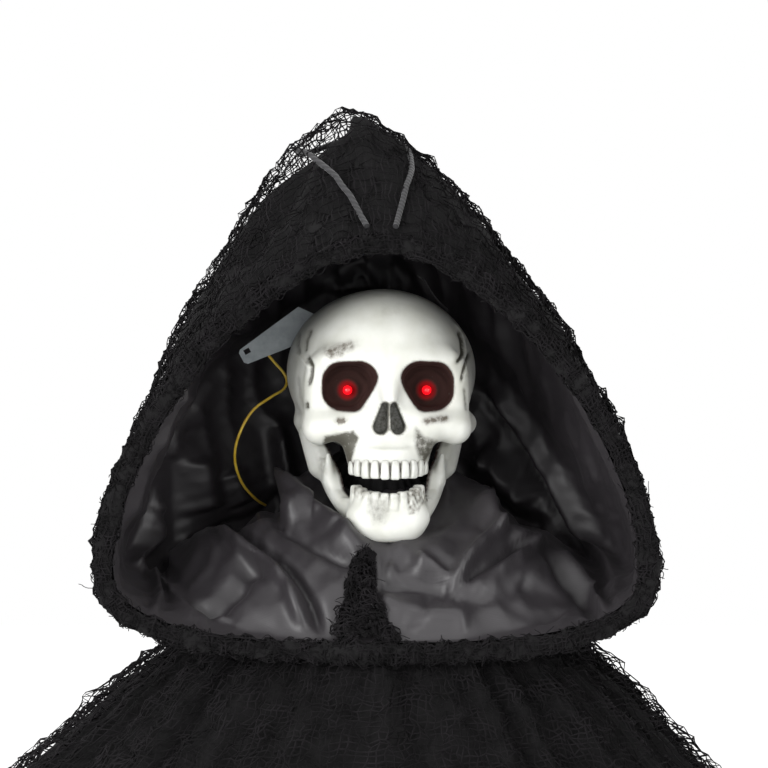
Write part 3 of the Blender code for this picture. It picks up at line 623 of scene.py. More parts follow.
# %% Sections of the hood
HOOD_SECTIONS = (
    (-0.80, -1.00, 1.02, 0.98, 0.513, -0.65, -1.000, 1.62, 1.62, 2.8, 0.00),
    (-0.46, -0.58, 1.03, 1.00, 0.810, -0.65, -0.955, 1.50, 1.46, 2.9, -0.04),
    (-0.04, -0.06, 1.02, 1.00, 1.000, -0.63, -0.880, 1.42, 1.35, 2.8, -0.115),
    (0.52, 0.50, 0.82, 0.80, 0.770, -0.56, -0.820, 1.60, 1.60, 2.6, -0.09),
    (0.86, 0.84, 0.51, 0.50, 0.400, -0.42, -0.760, 1.90, 1.90, 2.2, -0.04),
    (1.00, 1.00, 0.12, 0.12, 0.030, -0.14, -0.300, 2.00, 2.00, 2.0, 0.00),
)


def smooth_rows(rows, t):
    """Reads a smooth curve through evenly spaced rows of numbers, with t from 0 to 1."""
    rows = np.array(rows)
    place = min(max(t, 0.0), 1.0) * (len(rows) - 1)
    i = min(int(place), len(rows) - 2)
    f = place - i
    a, b = rows[i], rows[i + 1]
    before = rows[i - 1] if i > 0 else 2 * a - b
    after = rows[i + 2] if i + 2 < len(rows) else 2 * b - a
    return 0.5 * (2 * a + (b - before) * f + (2 * before - 5 * a + 4 * b - after) * f**2 + (3 * a - before - 3 * b + after) * f**3)


def hood_section(t, around):
    """One closed section of the hood, from its lowest point round the right side to the peak and back down."""
    (y_top, y_low, left, right, top, wide, low, n_left, n_right, n_low, lean) = smooth_rows(HOOD_SECTIONS, t)
    back = 65 * UNIT + HOOD_BACK_ROOM
    half = HOOD_OPENING_WIDTH / 2
    top *= HOOD_PEAK_RISE
    wide *= HOOD_DROP
    low *= HOOD_DROP
    angle = np.linspace(0, math.tau, 1441)[:-1] - math.pi / 2
    c, s = np.cos(angle), np.sin(angle)
    power = np.where(s < 0, n_low, np.where(c < 0, n_left, n_right))
    share = np.abs(s) ** (2 / power)
    x = np.where(c < 0, -left, right) * half * np.abs(c) ** (2 / power)
    z = np.where(s < 0, wide + (low - wide) * share, wide + (top - wide) * share)
    x = x + np.where(s > 0, lean * half * share**2.5, 0.0)
    slope = (z - low) / (top - low)
    y = y_low + (y_top - y_low) * slope
    y = np.where(y < 0, y * HOOD_FRONT_REACH, y * back)
    points = np.stack([x + HEAD_ASIDE, y, z + SKULL_CENTRE_HEIGHT], axis=-1)
    closed = np.vstack([points, points[:1]])
    sides = []
    for side in (closed[:721], closed[720:]):
        run = np.concatenate([[0], np.cumsum(np.linalg.norm(np.diff(side, axis=0), axis=-1))])
        places = np.linspace(0, run[-1], around // 2 + 1)[:-1]
        sides.append(np.stack([np.interp(places, run, side[:, k]) for k in range(3)], axis=-1))
    return np.vstack(sides)


def hood_grid(around, places):
    """Rings of points on the hood, with the outward direction and the distance from the opening of each."""
    rings = np.array([hood_section(t, around) for t in places])
    out = grid_normals(rings)
    middle = rings.mean(axis=(0, 1))
    if ((rings - middle) * out).sum(axis=-1).mean() < 0:
        out = -out
    steps = np.linalg.norm(np.diff(rings, axis=0), axis=-1)
    run = np.concatenate([np.zeros((1, around)), np.cumsum(steps, axis=0)])
    return rings, out, run


def grid_normals(rings):
    across = (np.roll(rings, -1, axis=1) - np.roll(rings, 1, axis=1)) / 2
    out = np.cross(np.gradient(rings, axis=0), across)
    return out / np.maximum(np.linalg.norm(out, axis=-1, keepdims=True), 1e-12)


def even_places(around, count, first=0.0):
    """Places along the hood that are about evenly far apart on its surface."""
    fine = np.linspace(0, 1, 120)
    rings = np.array([hood_section(t, 24) for t in fine])
    run = np.concatenate([[0], np.cumsum(np.linalg.norm(np.diff(rings, axis=0), axis=-1).mean(axis=1))])
    return np.interp(np.linspace(first * run[-1], run[-1], count), run, fine), run[-1]


def grid_faces(rows, around, cap=True):
    """Quads over closed rings, and a fan of triangles to one last point at the end."""
    faces = []
    for k in range(rows - 1):
        for i in range(around):
            j = (i + 1) % around
            faces.append((k * around + i, (k + 1) * around + i, (k + 1) * around + j, k * around + j))
    if cap:
        last = (rows - 1) * around
        faces += [(last + i, rows * around, last + (i + 1) % around) for i in range(around)]
    return faces


LOOSE_EDGES = (([(352, 110), (318, 128), (296, 160), (272, 205), (262, 222)], 13), ([(258, 222), (248, 240), (240,
    262)], 11))


def pull_in(rings, around_share):
    """How far the cloth under the gauze hangs back from it, in metres: along two stretches of the upper left edge."""
    seen = seen_at(rings)
    loose = np.max([stroke(seen, path, width, 0.06) for path, width in LOOSE_EDGES], axis=0)
    left = np.clip((around_share - 0.49) / 0.02, 0, 1) * np.clip((0.80 - around_share) / 0.06, 0, 1)
    return loose * left * 10 * MM * np.clip((rings[..., 1] + 75 * MM) / (20 * MM), 0, 1)


print("hood pattern is", round(even_places(24, 2)[1] * 1000), "mm from opening to back")

# %% [markdown]
# ## The satin lining
# Inside the hood is black polyester satin, stretched over nothing: it sags into a floor that rises to the neck,
# with deep creases where it is gathered. Simulating would give some folds, but not these, so the sheet is a fine
# grid whose folds are pressed in with strokes, in millimetres of depth, where the picture shows them.

# %% Folds of the lining: line, width in picture elements, height in millimetres
SATIN_FOLDS = (
    # left wall
    ([(200, 385), (170, 425), (150, 475), (138, 520), (125, 560)], 5, -4.5),
    ([(186, 380), (156, 422), (136, 472), (122, 520)], 7, 3.0),
    ([(190, 455), (198, 485), (205, 510)], 12, 4.0),
    ([(225, 470), (233, 488), (240, 505)], 10, 3.0),
    ([(168, 455), (166, 500), (168, 550)], 9, -4.0),
    ([(145, 575), (150, 560), (165, 545)], 8, -4.0),
    ([(145, 500), (155, 510), (162, 520)], 3, -1.5),
    ([(130, 565), (158, 532), (160, 500)], 7, 3.0),
    # left edge of the floor
    ([(150, 578), (165, 570), (180, 555), (200, 540), (215, 530), (230, 525), (245, 523), (260, 515), (275, 505), (280,
        495)], 4, -4.0),
    ([(175, 572), (200, 556), (225, 545)], 11, 3.0),
    # left floor
    ([(230, 528), (245, 540), (260, 550), (275, 560), (290, 575), (305, 595), (315, 615), (322, 635)], 4, -4.0),
    ([(228, 536), (250, 552), (275, 570), (292, 592), (300, 615), (304, 632)], 6, 4.0),
    ([(265, 568), (250, 575), (238, 590), (225, 605), (212, 618), (200, 622)], 8, -4.5),
    ([(130, 565), (145, 578), (155, 592), (157, 605), (152, 618)], 3.2, 2.4),
    ([(150, 580), (165, 590), (180, 600)], 3, 1.6),
    ([(170, 600), (178, 612), (190, 622), (205, 626), (230, 624)], 3.4, 2.2),
    ([(180, 595), (183, 605), (190, 615)], 3, 1.2),
    # round the neck
    ([(273, 425), (278, 450), (283, 475), (295, 500), (310, 520), (330, 535), (345, 545), (362, 552)], 7, 5.0),
    ([(283, 530), (300, 540), (315, 550), (335, 560), (355, 568)], 4, -3.5),
    ([(272, 498), (276, 512), (281, 530)], 6, -4.0),
    ([(284, 512), (296, 520)], 6, 3.0),
    ([(315, 490), (325, 480)], 2.5, -1.0),
    # right wall
    ([(495, 385), (520, 415), (545, 450), (565, 480), (585, 520), (605, 555), (618, 590)], 9, 4.5),
    ([(484, 390), (508, 420), (533, 456), (552, 488), (571, 527), (590, 562)], 5, -4.5),
    ([(478, 458), (505, 474), (534, 508)], 14, 6.0),
    ([(500, 500), (520, 520), (545, 525)], 7, -4.0),
    ([(475, 510), (478, 518), (481, 526)], 3, 1.8),
    # right floor
    ([(480, 500), (485, 520), (491, 540), (470, 560), (455, 583)], 5, 4.5),
    ([(415, 560), (435, 572), (452, 583)], 4, 3.0),
    ([(488, 542), (505, 537), (520, 545), (535, 548)], 4, 3.0),
    ([(460, 582), (490, 565), (510, 555), (530, 546)], 3.4, -3.0),
    ([(495, 575), (515, 560), (535, 549)], 3.4, 2.2),
    ([(545, 555), (560, 580), (580, 605), (600, 625), (618, 638)], 4, -3.5),
    ([(550, 556), (577, 585), (602, 610), (617, 625)], 3, 2.6),
    ([(380, 585), (410, 583), (435, 583), (452, 586)], 3.2, -2.6),
    ([(450, 597), (480, 600), (530, 585)], 8, -2.5),
    ([(372, 601), (400, 611), (430, 617), (462, 614)], 6, 3.0),
    ([(366, 568), (376, 598), (372, 632)], 6, -3.5),
    ([(430, 594), (424, 614), (404, 633)], 5, -2.5),
    ([(385, 566), (398, 575), (425, 572)], 6, 2.5),
    ([(470, 590), (500, 590), (540, 575)], 8, 1.5),
    ([(378, 572), (420, 580), (452, 592)], 14, -5.0),
    ([(378, 630), (420, 636), (470, 632)], 11, 3.5),
    # over the crown
    ([(328, 286), (352, 283), (378, 281)], 2.2, 2.6),
    ([(385, 285), (402, 284)], 1.8, 1.6),
    ([(336, 272), (352, 264), (366, 258)], 5, -3.0),
    ([(350, 276), (362, 268), (372, 278)], 3, 1.6),
    ([(392, 262), (404, 272), (414, 280)], 6, -2.5),
    # upper walls
    ([(330, 290), (280, 320), (235, 350), (200, 380)], 6, -2.5),
    ([(470, 300), (510, 345), (550, 390), (585, 440), (612, 500)], 16, 3.0),
)


def lining_floor(x, y):
    """Height of the satin floor: low at the hem and drawn up to the neck like a tent to its pole."""
    u = (x - HEAD_ASIDE) / (150 * MM)
    v = (y - 14 * MM) / np.where(y < 14 * MM, 116 * MM, 190 * MM)
    r = np.clip(np.hypot(u, v), 0, 1)
    tent = 112 * (1 - r) ** 0.8 - 139
    jaw = np.interp(y / MM, (-60, -48, -42, -32, -15, 0, 8, 14), (-89, -86, -83, -79, -69, -57, -50, -38))
    near_jaw = np.clip((58 - np.abs(x - HEAD_ASIDE) / MM) / 18, 0, 1)
    tent = tent + (np.minimum(tent, jaw) - tent) * near_jaw
    return SKULL_CENTRE_HEIGHT + tent * MM


around, rows = 480, 110
places, _ = even_places(around, rows)
rings, out, run = hood_grid(around, places)
shares = np.arange(around) / around
swell = HEM_SWELL * np.exp(-((run / HEM_LENGTH) ** 2))
satin = rings - out * (HOOD_WALL + swell * 0.5 + SEAT_GAP * 1.3 + 0.9 * MM + pull_in(rings, shares))[..., None]
floor = lining_floor(satin[..., 0], satin[..., 1])
rise = np.clip((run - 4 * MM) / (14 * MM), 0, 1)
lift = (floor - satin[..., 2] + np.sqrt((floor - satin[..., 2]) ** 2 + (5 * MM) ** 2)) / 2
satin[..., 2] += lift * rise
facing = grid_normals(satin) * (-1 if (grid_normals(rings) * out).sum(-1).mean() > 0 else 1)
seen = seen_at(satin)
height = np.zeros(seen.shape[:-1])
for path, width, tall in SATIN_FOLDS:
    height += stroke(seen, path, width * 1.1) ** (0.6 if width < 5 else 0.8) * tall * (2.4 if tall > 0 else 1.9)
drape = wander(satin, 34 * MM, 3, 7)
height += 1.5 * (1 - np.abs(drape)) + 0.25 * wander(satin, 9 * MM, 4)
height = np.maximum(height + 3.0, -0.6 - np.minimum(lift * rise / MM, 6.0))
visible = np.clip((run - 3 * MM) / (12 * MM), 0, 1)
satin = satin + facing * (height * visible * MM)[..., None]
lining_rings, lining_facing = satin, facing
satin_points = np.vstack([satin.reshape(-1, 3), satin[-1].mean(axis=0, keepdims=True)])
print("lining rises to", round((satin[..., 2].max() - SKULL_CENTRE_HEIGHT) * 1000), "mm over the middle of the skull")

# %% [markdown]
# Satin is woven so that one set of threads lies on top, which makes it shine along them: the highlights are broad
# but have an edge. Polyester has an IOR of about 1.6. The thread is really 0.1 mm; it is drawn at 0.7 mm so that it
# can be seen at all, with a faint relief. The pattern follows the cloth's own UV map, which is in metres.

# %% Black satin
black_satin = new_finish(
    "polyester satin, black",
    {"Base Color": linear("272427"), "Roughness": 0.5, "IOR": 1.6, "Sheen Weight": 0.1, "Sheen Roughness": 0.35,
        "Sheen Tint": linear("8C888C")},
)
cloth_place = add_node(black_satin, "UVMap", {"uv_map": "cloth"}).outputs["UV"]
threads = add_node(black_satin, "TexWave", {"Scale": 1.0 / 0.0007 / math.tau * 2, "Distortion": 1.5, "Detail": 2.0,
    "bands_direction": "Y"}, {"Vector": cloth_place})
crumple = add_node(black_satin, "TexNoise", {"Scale": 55.0, "Detail": 5.0, "Distortion": 1.2}, {"Vector": cloth_place})
thread_relief = add_node(black_satin, "Bump", {"Strength": 0.10, "Distance": 0.0002},
    {"Height": threads.outputs["Fac"]})
satin_relief = add_node(black_satin, "Bump", {"Strength": 0.25, "Distance": 0.0010}, {"Height": crumple.outputs["Fac"],
    "Normal": thread_relief.outputs["Normal"]})
satin_sheen = add_node(black_satin, "MapRange", {"To Min": 0.44, "To Max": 0.56}, {"Value": crumple.outputs["Fac"]})
connect(black_satin, Normal=satin_relief.outputs["Normal"], Roughness=satin_sheen.outputs[0])


def lay_uv(made, u, v, width):
    """A UV map named cloth, in metres. Faces that cross the seam, where u starts again, go on past its end."""
    layer = made.data.uv_layers.new(name="cloth")
    for face in made.data.polygons:
        corners = [(u[made.data.loops[i].vertex_index], i) for i in face.loop_indices]
        over = max(corners)[0] - min(corners)[0] > width / 2
        for across, i in corners:
            back = width if over and across < width / 2 else 0.0
            layer.data[i].uv = (across + back, v[made.data.loops[i].vertex_index])


lining = add_piece("satin_lining", satin_points, [f[::-1] for f in grid_faces(rows, around)], black_satin)
lay_uv(lining, np.append(np.tile(shares * 0.95, rows), 0.5), np.append(run.ravel(), run[-1].mean()), 0.95)
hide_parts("hood_lining")

# %% [markdown]
# ## The hood's outside
# Over the satin lies a plain black backing, and over that a loose gauze whose threads stand about 3.4 mm apart,
# with ragged ends. The backing is one shell with soft folds that run from the peak to the hem.

# %% Backing cloth of the hood
cotton = new_finish("dyed cotton, black", {"Base Color": linear("0C0C0D"), "Roughness": 0.95, "IOR": 1.5,
    "Specular IOR Level": 0.3, "Sheen Weight": 0.04, "Sheen Roughness": 0.5, "Sheen Tint": linear("5A585A")})
cotton_place = add_node(cotton, "TexCoord").outputs["Object"]
nap = add_node(cotton, "TexNoise", {"Scale": 900.0, "Detail": 4.0}, {"Vector": cotton_place})
patch = add_node(cotton, "TexNoise", {"Scale": 40.0, "Detail": 3.0}, {"Vector": cotton_place})
shade = add_node(cotton, "ValToRGB", {}, {"Fac": patch.outputs["Fac"]})
shade.color_ramp.elements[0].position, shade.color_ramp.elements[0].color = 0.3, linear("070607")
shade.color_ramp.elements[1].position, shade.color_ramp.elements[1].color = 0.7, linear("0C0B0C")
nap_relief = add_node(cotton, "Bump", {"Strength": 0.5, "Distance": 0.0006}, {"Height": nap.outputs["Fac"]})
connect(cotton, Base_Color=shade.outputs["Color"], Normal=nap_relief.outputs["Normal"])


def hood_folds(rings, shares, run):
    """Soft folds of the outer cloth, in metres: they run from the peak down to the hem and fade at it."""
    wave = np.sin(shares * math.tau * 9 + 1.7 * np.sin(shares * math.tau * 3) + run * 18)
    crossing = wander(np.stack([np.broadcast_to(shares, run.shape) * 2.2, run * 7], axis=-1), 0.45, 11)
    fade = np.clip(run / (30 * MM), 0, 1)
    return (0.9 * wave + 1.1 * crossing) * fade * MM


around, rows = ((240, 56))
places, _ = even_places(around, rows)
rings, out, run = hood_grid(around, places)
shares = np.arange(around) / around
swell = HEM_SWELL * np.exp(-((run / HEM_LENGTH) ** 2))
under = pull_in(rings, shares)
cover = rings + out * (hood_folds(rings, shares, run) - 1.2 * MM - under)[..., None]
cover_points = np.vstack([cover.reshape(-1, 3), cover[-1].mean(axis=0, keepdims=True)])
backing = add_piece("hood_backing", cover_points, grid_faces(rows, around), cotton)
lay_uv(backing, np.append(np.tile(shares, rows), 0.5), np.append(run.ravel(), run[-1].mean()), 1.0)

# %% [markdown]
# Each gauze thread is one long three-sided tube, closed at its ends, because thousands of round ones would be far
# too heavy. `thread_tubes` takes any number of lines of points and wraps them all at once.

# %% Threads as tubes
def thread_tubes(lines, radius, closed=False):
    """Three-sided tubes along lines of points (count x length x 3), with the radius in metres for each point."""
    lines = np.asarray(lines)
    count, length = lines.shape[:2]
    radius = np.broadcast_to(np.asarray(radius, float), (count, length))
    if closed:
        along = np.roll(lines, -1, axis=1) - np.roll(lines, 1, axis=1)
    else:
        along = np.gradient(lines, axis=1)
    along /= np.maximum(np.linalg.norm(along, axis=-1, keepdims=True), 1e-9)
    helper = np.where(np.abs(along[..., 1:2]) < 0.85, np.array([0.0, 1.0, 0.0]), np.array([0.0, 0.0, 1.0]))
    side = np.cross(along, helper)
    side /= np.maximum(np.linalg.norm(side, axis=-1, keepdims=True), 1e-9)
    up = np.cross(side, along)
    corners = [lines + (side * math.cos(a) + up * math.sin(a)) * radius[..., None] for a in (0, math.tau / 3,
        2 * math.tau / 3)]
    points = np.stack(corners, axis=2).reshape(-1, 3)
    start = (np.arange(count) * length * 3)[:, None, None]
    last = length if closed else length - 1
    here = (np.arange(last) * 3)[None, :, None]
    there = (((np.arange(last) + 1) % length) * 3)[None, :, None]
    k = np.arange(3)[None, None, :]
    n = (np.arange(3)[None, None, :] + 1) % 3
    quads = np.stack([start + here + k, start + here + n, start + there + n, start + there + k], axis=-1).reshape(-1, 4)
    faces = [tuple(q) for q in quads]
    if not closed:
        first = start[:, 0, 0]
        faces += [(f + 2, f + 1, f) for f in first]
        faces += [(f, f + 1, f + 2) for f in first + (length - 1) * 3]
    return points, faces


def joined(parts):
    """Several (points, faces) as one."""
    points, faces, base = [], [], 0
    for some, quads in parts:
        points.append(some)
        faces += [tuple(base + i for i in q) for q in quads]
        base += len(some)
    return np.vstack(points), faces


# %% [markdown]
# The gauze is a grid of such threads. Every crossing is pushed a little out of place, so the meshes of the net are
# uneven, and in places the threads bunch together. The real net has meshes of 3 to 4 mm.

# %% Gauze thread and the net over the hood
gauze = new_finish("loose cotton gauze, dyed black", {"Base Color": linear("18181A"), "Roughness": 0.85, "IOR": 1.5,
    "Specular IOR Level": 0.12, "Sheen Weight": 0.08, "Sheen Roughness": 0.4, "Sheen Tint": linear("8A888A")})
gauze_place = add_node(gauze, "TexCoord").outputs["Object"]
twist = add_node(gauze, "TexNoise", {"Scale": 1400.0, "Detail": 2.0}, {"Vector": gauze_place})
fade = add_node(gauze, "TexNoise", {"Scale": 90.0, "Detail": 2.0}, {"Vector": gauze_place})
thread_colour = add_node(gauze, "ValToRGB", {}, {"Fac": fade.outputs["Fac"]})
thread_colour.color_ramp.elements[0].position, thread_colour.color_ramp.elements[0].color = 0.35, linear("0B0A0B")
thread_colour.color_ramp.elements[1].position, thread_colour.color_ramp.elements[1].color = 0.65, linear("181618")
twist_relief = add_node(gauze, "Bump", {"Strength": 0.6, "Distance": 0.0004}, {"Height": twist.outputs["Fac"]})
connect(gauze, Base_Color=thread_colour.outputs["Color"], Normal=twist_relief.outputs["Normal"])

MESH_SPACING = 3.4 * MM
THREAD = 0.4 * MM


def uneven(points, size, seed):
    """Pushes the crossings of a net out of place: together over wide areas, and each on its own."""
    shift = np.stack([wander(points, 22 * MM, seed + k) for k in range(3)], axis=-1) * 0.55
    shift += np.stack([wander(points, 9 * MM, seed + 10 + k) for k in range(3)], axis=-1) * 0.5
    own = np.random.default_rng(seed).normal(size=points.shape) * 0.3
    return points + (shift + own) * size


def net(points, closed_rings, thread, seed):
    """Warp and weft threads over a grid of points (rows x around x 3)."""
    thick = thread * (1 + 0.35 * wander(points, 12 * MM, seed))
    thick = np.clip(thick, thread * 0.55, thread * 1.6)
    return joined([thread_tubes(points, thick, closed=closed_rings), thread_tubes(points.transpose(1, 0, 2), thick.T)])


around = 288
places, depth = even_places(around, 2)
rows = int(depth / MESH_SPACING)
places, _ = even_places(around, rows)
places = places[places < 0.9985]
rings, out, run = hood_grid(around, places)
shares = np.arange(around) / around
lumps = 1.0 * MM * wander(rings, 15 * MM, 31)
stand = hood_folds(rings, shares, run) + 0.7 * MM + np.abs(lumps) + pull_in(rings, shares) * 0.10
laid = rings + out * stand[..., None]
last, middle = laid[-1], laid[-1].mean(axis=0)
laid = np.concatenate([laid, [middle + (last - middle) * share for share in (0.78, 0.56, 0.34, 0.12)]])
net_points = uneven(laid, MESH_SPACING * 0.5, 40)
points, faces = net(net_points[: rows // 2 + 1], True, THREAD, 50)
front_net = add_piece("hood_gauze_front", points, faces, gauze)
points, faces = net(net_points[rows // 2 :], True, THREAD, 51)
back_net = add_piece("hood_gauze_back", points, faces, gauze)
print("hood net:", len(front_net.data.polygons) + len(back_net.data.polygons), "faces")

# %% [markdown]
# The opening is edged with a rolled hem in which the gauze is bunched, about 10 mm wide and fuzzy. It is a lumpy tube
# round the opening, wrapped in loose threads that stick out as loops and broken ends.

# %% Rolled hem
around = 640
ring, out, run = hood_grid(around, (0.0, 0.02, 0.04))
centre = ring[0] - out[0] * 1.6 * MM
ahead = ring[0] - ring[1]
ahead /= np.linalg.norm(ahead, axis=-1, keepdims=True)
turns = np.linspace(0, math.tau, 15)[:-1]
shares = np.arange(around) / around
tube = []
for a in turns:
    base = centre + (out[0] * math.cos(a) * 4.9 + ahead * math.sin(a) * 4.0) * MM
    rough = 0.7 * wander(base, 7 * MM, 60) + 0.5 * wander(base, 3 * MM, 61) + 0.6 * wander(base, 30 * MM, 62)
    tube.append(base + (out[0] * math.cos(a) + ahead * math.sin(a)) * (rough * MM)[:, None])
tube = np.array(tube)
count = len(turns)
faces = [(k * around + i, k * around + (i + 1) % around, ((k + 1) % count) * around + (i + 1) % around,
    ((k + 1) % count) * around + i) for k in range(count) for i in range(around)]
hem = add_piece("hood_hem", tube.reshape(-1, 3), faces, cotton)


def loose_threads(start, away, along, number, length, radius, seed, segments=5):
    """Short curled threads that leave a surface and bend back along it."""
    rng = np.random.default_rng(seed)
    pick = rng.integers(0, len(start), number)
    a, b = away[pick], along[pick]
    c = np.cross(a, b)
    turn = rng.uniform(0, math.tau, number)[:, None]
    run_way = b * np.cos(turn) + c * np.sin(turn)
    size = length * rng.uniform(0.4, 1.5, number)[:, None]
    lift = rng.uniform(0.05, 0.55, number)[:, None] ** 1.3
    lines = []
    curl = rng.normal(size=(number, 3)) * 0.35
    for k in range(segments + 1):
        t = k / segments
        lines.append(start[pick] - a * 0.4 * MM + size * (run_way * t + a * lift * np.sin(math.pi * min(t * 1.1,
            1.0)) + curl * t * t * 0.5))
    return thread_tubes(np.stack(lines, axis=1), radius * np.linspace(1.0, 0.75, segments + 1)[None, :])


hem_start = tube.transpose(1, 0, 2).reshape(-1, 3)
hem_away = (tube - centre).transpose(1, 0, 2).reshape(-1, 3)
hem_away /= np.linalg.norm(hem_away, axis=-1, keepdims=True)
hem_along = np.repeat(np.roll(centre, -1, axis=0) - centre, count, axis=0)
hem_along /= np.linalg.norm(hem_along, axis=-1, keepdims=True)
wrap = np.concatenate([tube, tube[:1]])[:, :: 2]
wrap = wrap + (wrap - centre[:: 2]) * 0.12
fuzz = [
    loose_threads(hem_start, hem_away, hem_along, 2300, 4.2 * MM, 0.34 * MM, 71),
    loose_threads(hem_start, hem_away, hem_along, 260, 8 * MM, 0.28 * MM, 72, 7),
    net(uneven(wrap, MESH_SPACING * 0.35, 73), True, THREAD * 1.15, 74),
]
points, faces = joined(fuzz)
hem_fuzz = add_piece("hem_threads", points, faces, gauze)
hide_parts("hood")
print("hem threads:", len(faces), "faces")

# %% [markdown]
# Under the chin the gauze of the robe comes through the gather and runs down the satin to the hem as a crumpled
# strip. It lies on the lining: each place of the picture is looked up on the lining's nearest surface, and the
# strip is laid a few millimetres above it. A loose end of thread hangs from the hem over the crown.

# %% Gathered strip of gauze
GATHER = ([367, 551], [362, 572], [359, 592], [359, 611], [364, 629], [373, 644])
GATHER_WIDTHS = (10, 27, 35, 40, 54, 78)
lining_seen = seen_at(lining_rings).reshape(-1, 2)
lining_flat, facing_flat = lining_rings.reshape(-1, 3), lining_facing.reshape(-1, 3)
strip_rows, strip_across = 34, 13
laid = np.empty((strip_rows, strip_across, 3))
lift_way = np.empty_like(laid)
aims = np.empty((strip_rows, strip_across, 2))
for i in range(strip_rows):
    t = i / (strip_rows - 1)
    place = np.array([np.interp(t, np.linspace(0, 1, 6), [g[k] for g in GATHER]) for k in range(2)])
    half = np.interp(t, np.linspace(0, 1, 6),
        GATHER_WIDTHS) / 2 * (1 + 0.14 * math.sin(9 * t + 1.3) + 0.1 * math.sin(24 * t))
    for j in range(strip_across):
        aim = aims[i, j] = place + np.array([half * (j / (strip_across - 1) * 2 - 1), 0.0])
        near = np.argsort(np.linalg.norm(lining_seen - aim, axis=1))[:16]
        found = near[np.argmin(lining_flat[near, 1])]
        laid[i, j], lift_way[i, j] = lining_flat[found], facing_flat[found]
for _ in range(4):
    laid[1:-1] = (laid[:-2] + laid[1:-1] * 2 + laid[2:]) / 4
    laid[:, 1:-1] = (laid[:, :-2] + laid[:, 1:-1] * 2 + laid[:, 2:]) / 4
for i, j in np.ndindex(strip_rows, strip_across):
    laid[i, j] = shown_at(aims[i, j], laid[i, j, 1])
bulge = np.sin(np.linspace(0, math.pi, strip_across))[None, :] ** 0.5 * 3.4 + 0.6 + 1.1 * wander(laid, 7 * MM, 91)
laid = laid + lift_way * (np.maximum(bulge, 0.3) * MM)[..., None]
rolls = laid[:, 1:-1:2].transpose(1, 0, 2) + 0.7 * MM * np.random.default_rng(92).normal(size=(strip_across // 2,
    strip_rows, 3))
points, faces = joined(
    [
        thread_tubes(rolls - np.array([0, -1.5, 1.5]) * MM, 1.5 * MM * (1 + 0.3 * wander(rolls, 9 * MM, 93))),
        net(uneven(laid, 2.2 * MM, 94), False, THREAD * 1.1, 95),
        loose_threads(laid.reshape(-1, 3), lift_way.reshape(-1, 3), np.roll(lift_way.reshape(-1, 3), 1, axis=1), 160,
            4.5 * MM, 0.3 * MM, 96),
    ]
)
gather = add_piece("gathered_gauze", points, faces, gauze)
crown_line = [(418, 276, -74), (424, 280, -68), (431, 292, -62), (439, 302, -58), (447.5, 310, -54)]
crown_line = np.array([shown_at((x, z), y * MM) for x, z, y in crown_line])
crown_line = np.array([smooth_rows(crown_line, k / 16) for k in range(17)])
points, faces = thread_tubes(crown_line[None], 0.5 * MM)
crown_thread = add_piece("thread_over_crown", points, faces, gauze)
print("gather:", len(gather.data.polygons), "faces")

# %% [markdown]
# ## The robe
# Over the shoulders hangs the same gauze on black cloth, in upright folds, gathered in to the neck that the skull
# sits on. The gauze stands clear of the cloth along the shoulder line, where light shows through it.

# %% Sections of the robe
ROBE_SECTIONS = (
    (0.00, 1.000, 1.000, 1.000),
    (0.21, 0.920, 0.985, 0.990),
    (0.50, 0.790, 0.960, 0.970),
    (0.74, 0.690, 0.930, 0.950),
    (0.93, 0.590, 0.880, 0.920),
    (1.12, 0.495, 0.780, 0.860),
    (1.29, 0.495, 0.700, 0.780),
    (1.46, 0.470, 0.590, 0.680),
    (1.63, 0.395, 0.430, 0.590),
    (1.78, 0.305, 0.095, 0.500),
    (1.93, 0.205, 0.055, 0.400),
)
NECK_RADIUS = 23 * MM


def skull_base(x, y):
    """Height of the underside of the brain case in the skull's layout."""
    return 8.0 - 46.0 * np.sqrt(1.0 - (x / 53.0) ** 2 - ((y - 8.0) / 57.0) ** 2)


MOUND_SHARE = 0.622378  # rise of the mound of cloth inside the hood, as a share of the hood's drop


def robe_rings(heights, around, grow):
    """Level sections of the robe at these heights, as shares of the hem's height, grown outwards by grow metres."""
    hem_height = SKULL_CENTRE_HEIGHT - HOOD_DROP
    mound_rise = HOOD_DROP * MOUND_SHARE
    table = np.array(ROBE_SECTIONS)
    angle = math.tau * np.arange(around) / around
    c, s = np.cos(angle), np.sin(angle)
    rings = []
    for height in heights:
        wide, front, back = (np.interp(height, table[:, 0], table[:, k]) for k in (1, 2, 3))
        fold = 4 * MM * (np.cos(16 * angle + 1.1 * np.sin(3 * angle)) - 1) / 2 + grow
        x = np.sign(c) * np.abs(c) ** (2 / 2.3) * wide * SHOULDER_WIDTH / 2 + c * fold
        y = np.sign(s) * np.abs(s) ** (2 / 2.3) * np.where(s > 0, back, front) * SHOULDER_DEPTH / 2 + s * fold
        z = min(height, 1.0) * hem_height + max(height - 1.0, 0.0) * mound_rise
        rings.append(np.stack([x + HEAD_ASIDE * min(1.0, height / 1.3), y, np.full(around, z)], axis=-1))
    return np.array(rings)


# %% [markdown]
# The cloth is a skin with a wall of 1.2 mm, hollow inside: gathered shut under the skull, and closed flat below,
# where the bust is cut and stands. Its upright folds are shared with the net that lies on it.

# %% Robe cloth
def robe_folds(angle, heights):
    """Upright folds of the robe, in metres."""
    wide = 2.2 * np.sin(angle * 31 + 2.0 * np.sin(angle * 5) + 1.4 * heights)
    return (wide + 1.3 * np.sin(angle * 53 + heights * 2.2)) * 1.25 * MM


